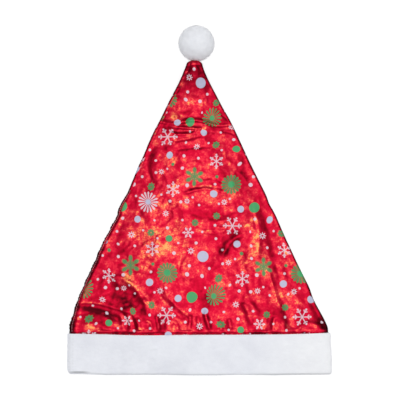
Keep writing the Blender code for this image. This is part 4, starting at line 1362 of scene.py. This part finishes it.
def plush_material(name, shared, depth, round_about=None, band=False):
    """White plush with its pile in its relief, or as fibres that stand round a middle.

    The band gets painted light, brighter to the right, and painted shade along its folded edge.
    """
    material = bpy.data.materials.new(name)
    wire = empty_tree(material)
    place = wire.add("ShaderNodeTexCoord").node.outputs["Object"]
    plush = wire.effect(PLUSH_SHADE, {"Place": place, **shared})
    color = plush["Color"]
    if band:
        # Painted light, brighter towards the right end.
        right_end_painted_light = wire.mask(wire.parts(place)[0], PAINTED_LIGHT_FROM_TO[1], PAINTED_LIGHT_FROM_TO[0])
        color = wire.mix(wire.math("MULTIPLY", right_end_painted_light, PAINTED_LIGHT_SHARE), color, BRIM_PAINTED_LIGHT)
        # Painted shade along the folded lower edge.
        for x, y, reach_x, reach_y, darker in BRIM_PAINTED_SHADE_LINES:
            middle_x, middle_y = photo_place(x, y)
            scale = (1 / (reach_x * PHOTO_SCALE), 1 / (reach_y * PHOTO_SCALE), 0)
            middle = (-middle_x * scale[0], -middle_y * scale[1], 0)
            seen = wire.vector("MULTIPLY_ADD", place, scale, middle)
            near = wire.mask(wire.vector("LENGTH", seen, output=1), 0.4, 1.0)
            color = wire.mix(wire.math("MULTIPLY", near, darker), color, BRIM_PAINTED_SHADE_COLOR)
    if round_about is None:
        normal = wire.add("ShaderNodeBump", {
            "Strength": 0.55, "Distance": depth, "Height": plush["Pile"],
        })
    else:
        normal = wire.vector("NORMALIZE", wire.vector("SUBTRACT", place, tuple(round_about)))
    wire.surface({
        "Base Color": color, "Roughness": 0.95, "Normal": normal,
        "Sheen Weight": 0.15, "Sheen Roughness": 0.5,
    })
    return material


BRIM_PLUSH = {
    "Patch Scale": 45.0, "Pile Scale": 900.0,
    "Light": (0.84, 0.855, 0.905, 1), "Shade": (0.76, 0.775, 0.835, 1),
}
# Painted light: the brim is painted brighter towards its right end.
BRIM_PAINTED_LIGHT = (0.97, 0.97, 0.955, 1)
PAINTED_LIGHT_SHARE = 0.38
PAINTED_LIGHT_FROM_TO = (0.055, 0.125)
# Painted shade along the brim's folded lower edge and under its lower-left corner.
BRIM_PAINTED_SHADE_COLOR = (0.30, 0.31, 0.33, 1)
BRIM_PAINTED_SHADE_LINES = (
    # x, y, reach along x, reach along y, darker
    (79, 372.2, 13, 1.3, 0.75),
    (200, 374.6, 220, 1.5, 0.28),
    (310, 374.0, 60, 1.5, 0.25),
)
brim_data.materials.append(plush_material("plush_with_painted_light", BRIM_PLUSH, 0.0005, band=True))

# Stands tapering fibres on a surface, none of them near the floor, and gives them alone.
wire, given = new_group(
    "fibres", "GeometryNodeTree",
    {"Geometry": "Geometry", "Density": "Float", "Length": "Float", "Thickness": "Float",
     "Tilt": "Float", "Seed": "Int", "Material": "Material"},
    {"Geometry": "Geometry"},
)
height = wire.parts(wire.add("GeometryNodeInputPosition"))[2]
clear = wire.math("MULTIPLY", given["Length"], 2.0)
scatter = wire.add("GeometryNodeDistributePointsOnFaces", {
    "Mesh": given["Geometry"], "Density": given["Density"], "Seed": given["Seed"],
    "Selection": wire.add(
        "FunctionNodeCompare", (height, clear), data_type="FLOAT", operation="GREATER_THAN"
    ),
})
fibre = wire.add("GeometryNodeMeshCone", {
    "Vertices": 3, "Radius Top": 0.0, "Radius Bottom": given["Thickness"],
    "Depth": given["Length"],
}, fill_type="NONE")
least, most = (
    wire.add("ShaderNodeVectorMath", {0: way, "Scale": given["Tilt"]}, operation="SCALE")
    for way in ((-1, -1, -1), (1, 1, 1))
)
lean = wire.add("FunctionNodeRandomValue", (least, most), data_type="FLOAT_VECTOR")
upright = scatter.node.outputs["Rotation"]
stand = wire.add("GeometryNodeInstanceOnPoints", {
    "Points": scatter, "Instance": fibre,
    "Rotation": wire.add(
        "FunctionNodeRotateRotation", (upright, lean), rotation_space="LOCAL"
    ),
    "Scale": wire.add(
        "FunctionNodeRandomValue", {2: 0.7, 3: 1.1, "Seed": 5}, output=1, data_type="FLOAT"
    ),
})
painted_end(wire, stand, given["Material"])
FIBRES = wire.tree

brim_pile = plain_result("brim_pile", brim_data, FIBRES, {
    "Density": 520000.0, "Length": 0.0013, "Thickness": 0.00010, "Tilt": 0.9, "Seed": 4,
    "Material": plush_material("brim_pile", BRIM_PLUSH, 0.0, band=True),
})
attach(brim_pile, "root")
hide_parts("brim")


# The strip's ends are joined by a row of white stitches, which sink into the plush.
JOIN_PIXEL = 73.0
JOIN_SPACING = 0.0034
JOIN_LENGTH = 0.0019
JOIN_THICKNESS = 0.00034
JOIN_COLOR = (0.93, 0.94, 0.97, 1)
join_x = (JOIN_PIXEL - PHOTO_MIDDLE[0]) * PHOTO_SCALE
face_rows = brim_points[BRIM_LIP_ROWS + 2 : BRIM_LIP_ROWS + BRIM_FACE_ROWS, : BRIM_COLUMNS[0]]
join_line = np.array([
    [row[np.abs(row[:, 0] - join_x).argmin(), 1], np.interp(join_x, row[:, 0], row[:, 2])]
    for row in face_rows
])
join_line = join_line[np.argsort(join_line[:, 0])]
join_run = np.arange(join_line[0, 0], join_line[-1, 0], JOIN_SPACING)
join_points = [(join_x, y, np.interp(y, *join_line.T)) for y in join_run]
join_data = bpy.data.meshes.new("join_points")
join_data.from_pydata(join_points, [], [])
brim_stitches = plain_result("brim_stitches", join_data, STITCHES, {
    "Length": JOIN_LENGTH, "Thickness": JOIN_THICKNESS, "Turn": math.pi / 2, "Slant": 0.12,
    "Material": thread_material("brim_thread", JOIN_COLOR),
})
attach(brim_stitches, "root")
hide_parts("brim")


# Pompom
# A ball of dense white plush, a little uneven, pressed flat where it rests on the floor. The
# crown's tip is gathered and sewn into its lower edge, and stands over it there.

BALL_SUBDIVISIONS = 6
BALL_PILE = 0.0008
BALL_LUMPS = 0.00012
BALL_PIXEL = (196.4, 43.5)
BALL_PLUSH = {
    "Patch Scale": 120.0, "Light": (0.87, 0.885, 0.925, 1), "Shade": (0.82, 0.835, 0.88, 1),
}

BALL_RADIUS = (pompom_high[1] - pompom_low[1]) / 2 + 0.0001
ball_middle = np.array((*photo_place(*BALL_PIXEL), pompom_high[2] - BALL_RADIUS))
ball_mesh = bmesh.new()
bmesh.ops.create_icosphere(ball_mesh, subdivisions=BALL_SUBDIVISIONS, radius=1.0)
facing = np.array([v.co[:] for v in ball_mesh.verts])
random = np.random.default_rng(12)
lumps = np.zeros(len(facing))
for _ in range(40):
    way = random.normal(size=3)
    way = way / np.linalg.norm(way)
    lumps += np.sin(facing @ way * random.uniform(7, 22) + random.uniform(0, math.tau))
lumps = lumps / math.sqrt(20)
reach = BALL_RADIUS - BALL_PILE + BALL_LUMPS * lumps
ball_points = ball_middle + facing * reach[:, None]
ball_points[:, 2] = np.maximum(ball_points[:, 2], 0.0002)
for vertex, point in zip(ball_mesh.verts, ball_points):
    vertex.co = point
for face in ball_mesh.faces:
    face.smooth = True
ball_data = mesh_data("pompom_ball", ball_mesh)
pompom_ball = scene_object("pompom_ball", ball_data)
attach(pompom_ball, "root")
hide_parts("pompom")
ball_data.materials.append(
    plush_material("ball_plush", {**BALL_PLUSH, "Pile Scale": 900.0}, 0.0004)
)
ball_pile_material = plush_material(
    "ball_pile", {**BALL_PLUSH, "Pile Scale": 700.0}, 0.0, round_about=ball_middle
)
ball_pile = plain_result("ball_pile", ball_data, FIBRES, {
    "Density": 500000.0, "Length": 0.0015, "Thickness": 0.00009, "Tilt": 0.7, "Seed": 9,
    "Material": ball_pile_material,
})
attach(ball_pile, "root")
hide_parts("pompom")


# Floor, light and camera
# The hat is photographed from straight above on a white table under one large soft light,
# which is brightest overhead and fades towards the sides.

FLOOR_PALE = (0.36, 0.36, 0.365, 1)
FLOOR_GLOW = (0.76, 0.76, 0.76, 1)
# Painted dark reflection: the table as the foil sees it.
FLOOR_PAINTED_DARK_REFLECTION = (0.06, 0.06, 0.065, 1)
LIGHT_AIM = (0.04, 0.14, 0.99)
LIGHT_TOP = 1.74
LIGHT_LOW = 0.10
LIGHT_SPREAD = 1.6

floor_mesh = bmesh.new()
bmesh.ops.create_grid(floor_mesh, x_segments=1, y_segments=1, size=12.0)
floor = scene_object("floor", mesh_data("floor", floor_mesh))
floor.location.z = -0.0002
# The table is bright; in the foil it is painted dark, a painted reflection that darkens the foil's
# edges.
floor_paint = bpy.data.materials.new("floor_paint")
wire = empty_tree(floor_paint)
pale = wire.add("ShaderNodeBsdfDiffuse", (FLOOR_PALE,))
glow = wire.add("ShaderNodeEmission", (FLOOR_GLOW,))
bright = wire.add("ShaderNodeAddShader", (pale, glow))
painted_dark_reflection = wire.add("ShaderNodeBsdfDiffuse", (FLOOR_PAINTED_DARK_REFLECTION,))
in_foil = wire.add("ShaderNodeLightPath").node.outputs["Is Glossy Ray"]
both = wire.add("ShaderNodeMixShader", (in_foil, bright, painted_dark_reflection))
wire.add("ShaderNodeOutputMaterial", (both,))
floor.data.materials.append(floor_paint)

world = bpy.data.worlds.new("studio")
bpy.context.scene.world = world
wire = empty_tree(world)
direction = wire.add("ShaderNodeTexCoord").node.outputs["Generated"]
towards = wire.vector("NORMALIZE", direction)
height = wire.vector("DOT_PRODUCT", towards, LIGHT_AIM, output=1)
height = wire.math("POWER", wire.math("MAXIMUM", height, 0.0), LIGHT_SPREAD)
level = wire.math("MULTIPLY_ADD", height, LIGHT_TOP - LIGHT_LOW, LIGHT_LOW)
fill = wire.add("ShaderNodeBackground", ((1.0, 1.0, 1.0, 1), level))
seen_white = wire.add("ShaderNodeBackground", ((0.94, 0.94, 0.95, 1),))
straight = wire.add("ShaderNodeLightPath").node.outputs["Is Camera Ray"]
both = wire.add("ShaderNodeMixShader", (straight, fill, seen_white))
wire.add("ShaderNodeOutputWorld", (both,))

CAMERA_HEIGHT = 6.0
HAT_MIDDLE = 0.015
FRAME_WIDTH = 400 * PHOTO_SCALE
camera_data = bpy.data.cameras.new("camera")
camera_data.sensor_width = 36.0
camera_data.lens = camera_data.sensor_width * (CAMERA_HEIGHT - HAT_MIDDLE) / FRAME_WIDTH
camera_data.clip_end = 60.0
camera = scene_object("camera", camera_data)
camera.location = (*photo_place(200, 200), CAMERA_HEIGHT)
bpy.context.scene.camera = camera
bpy.context.scene.view_settings.view_transform = "Standard"
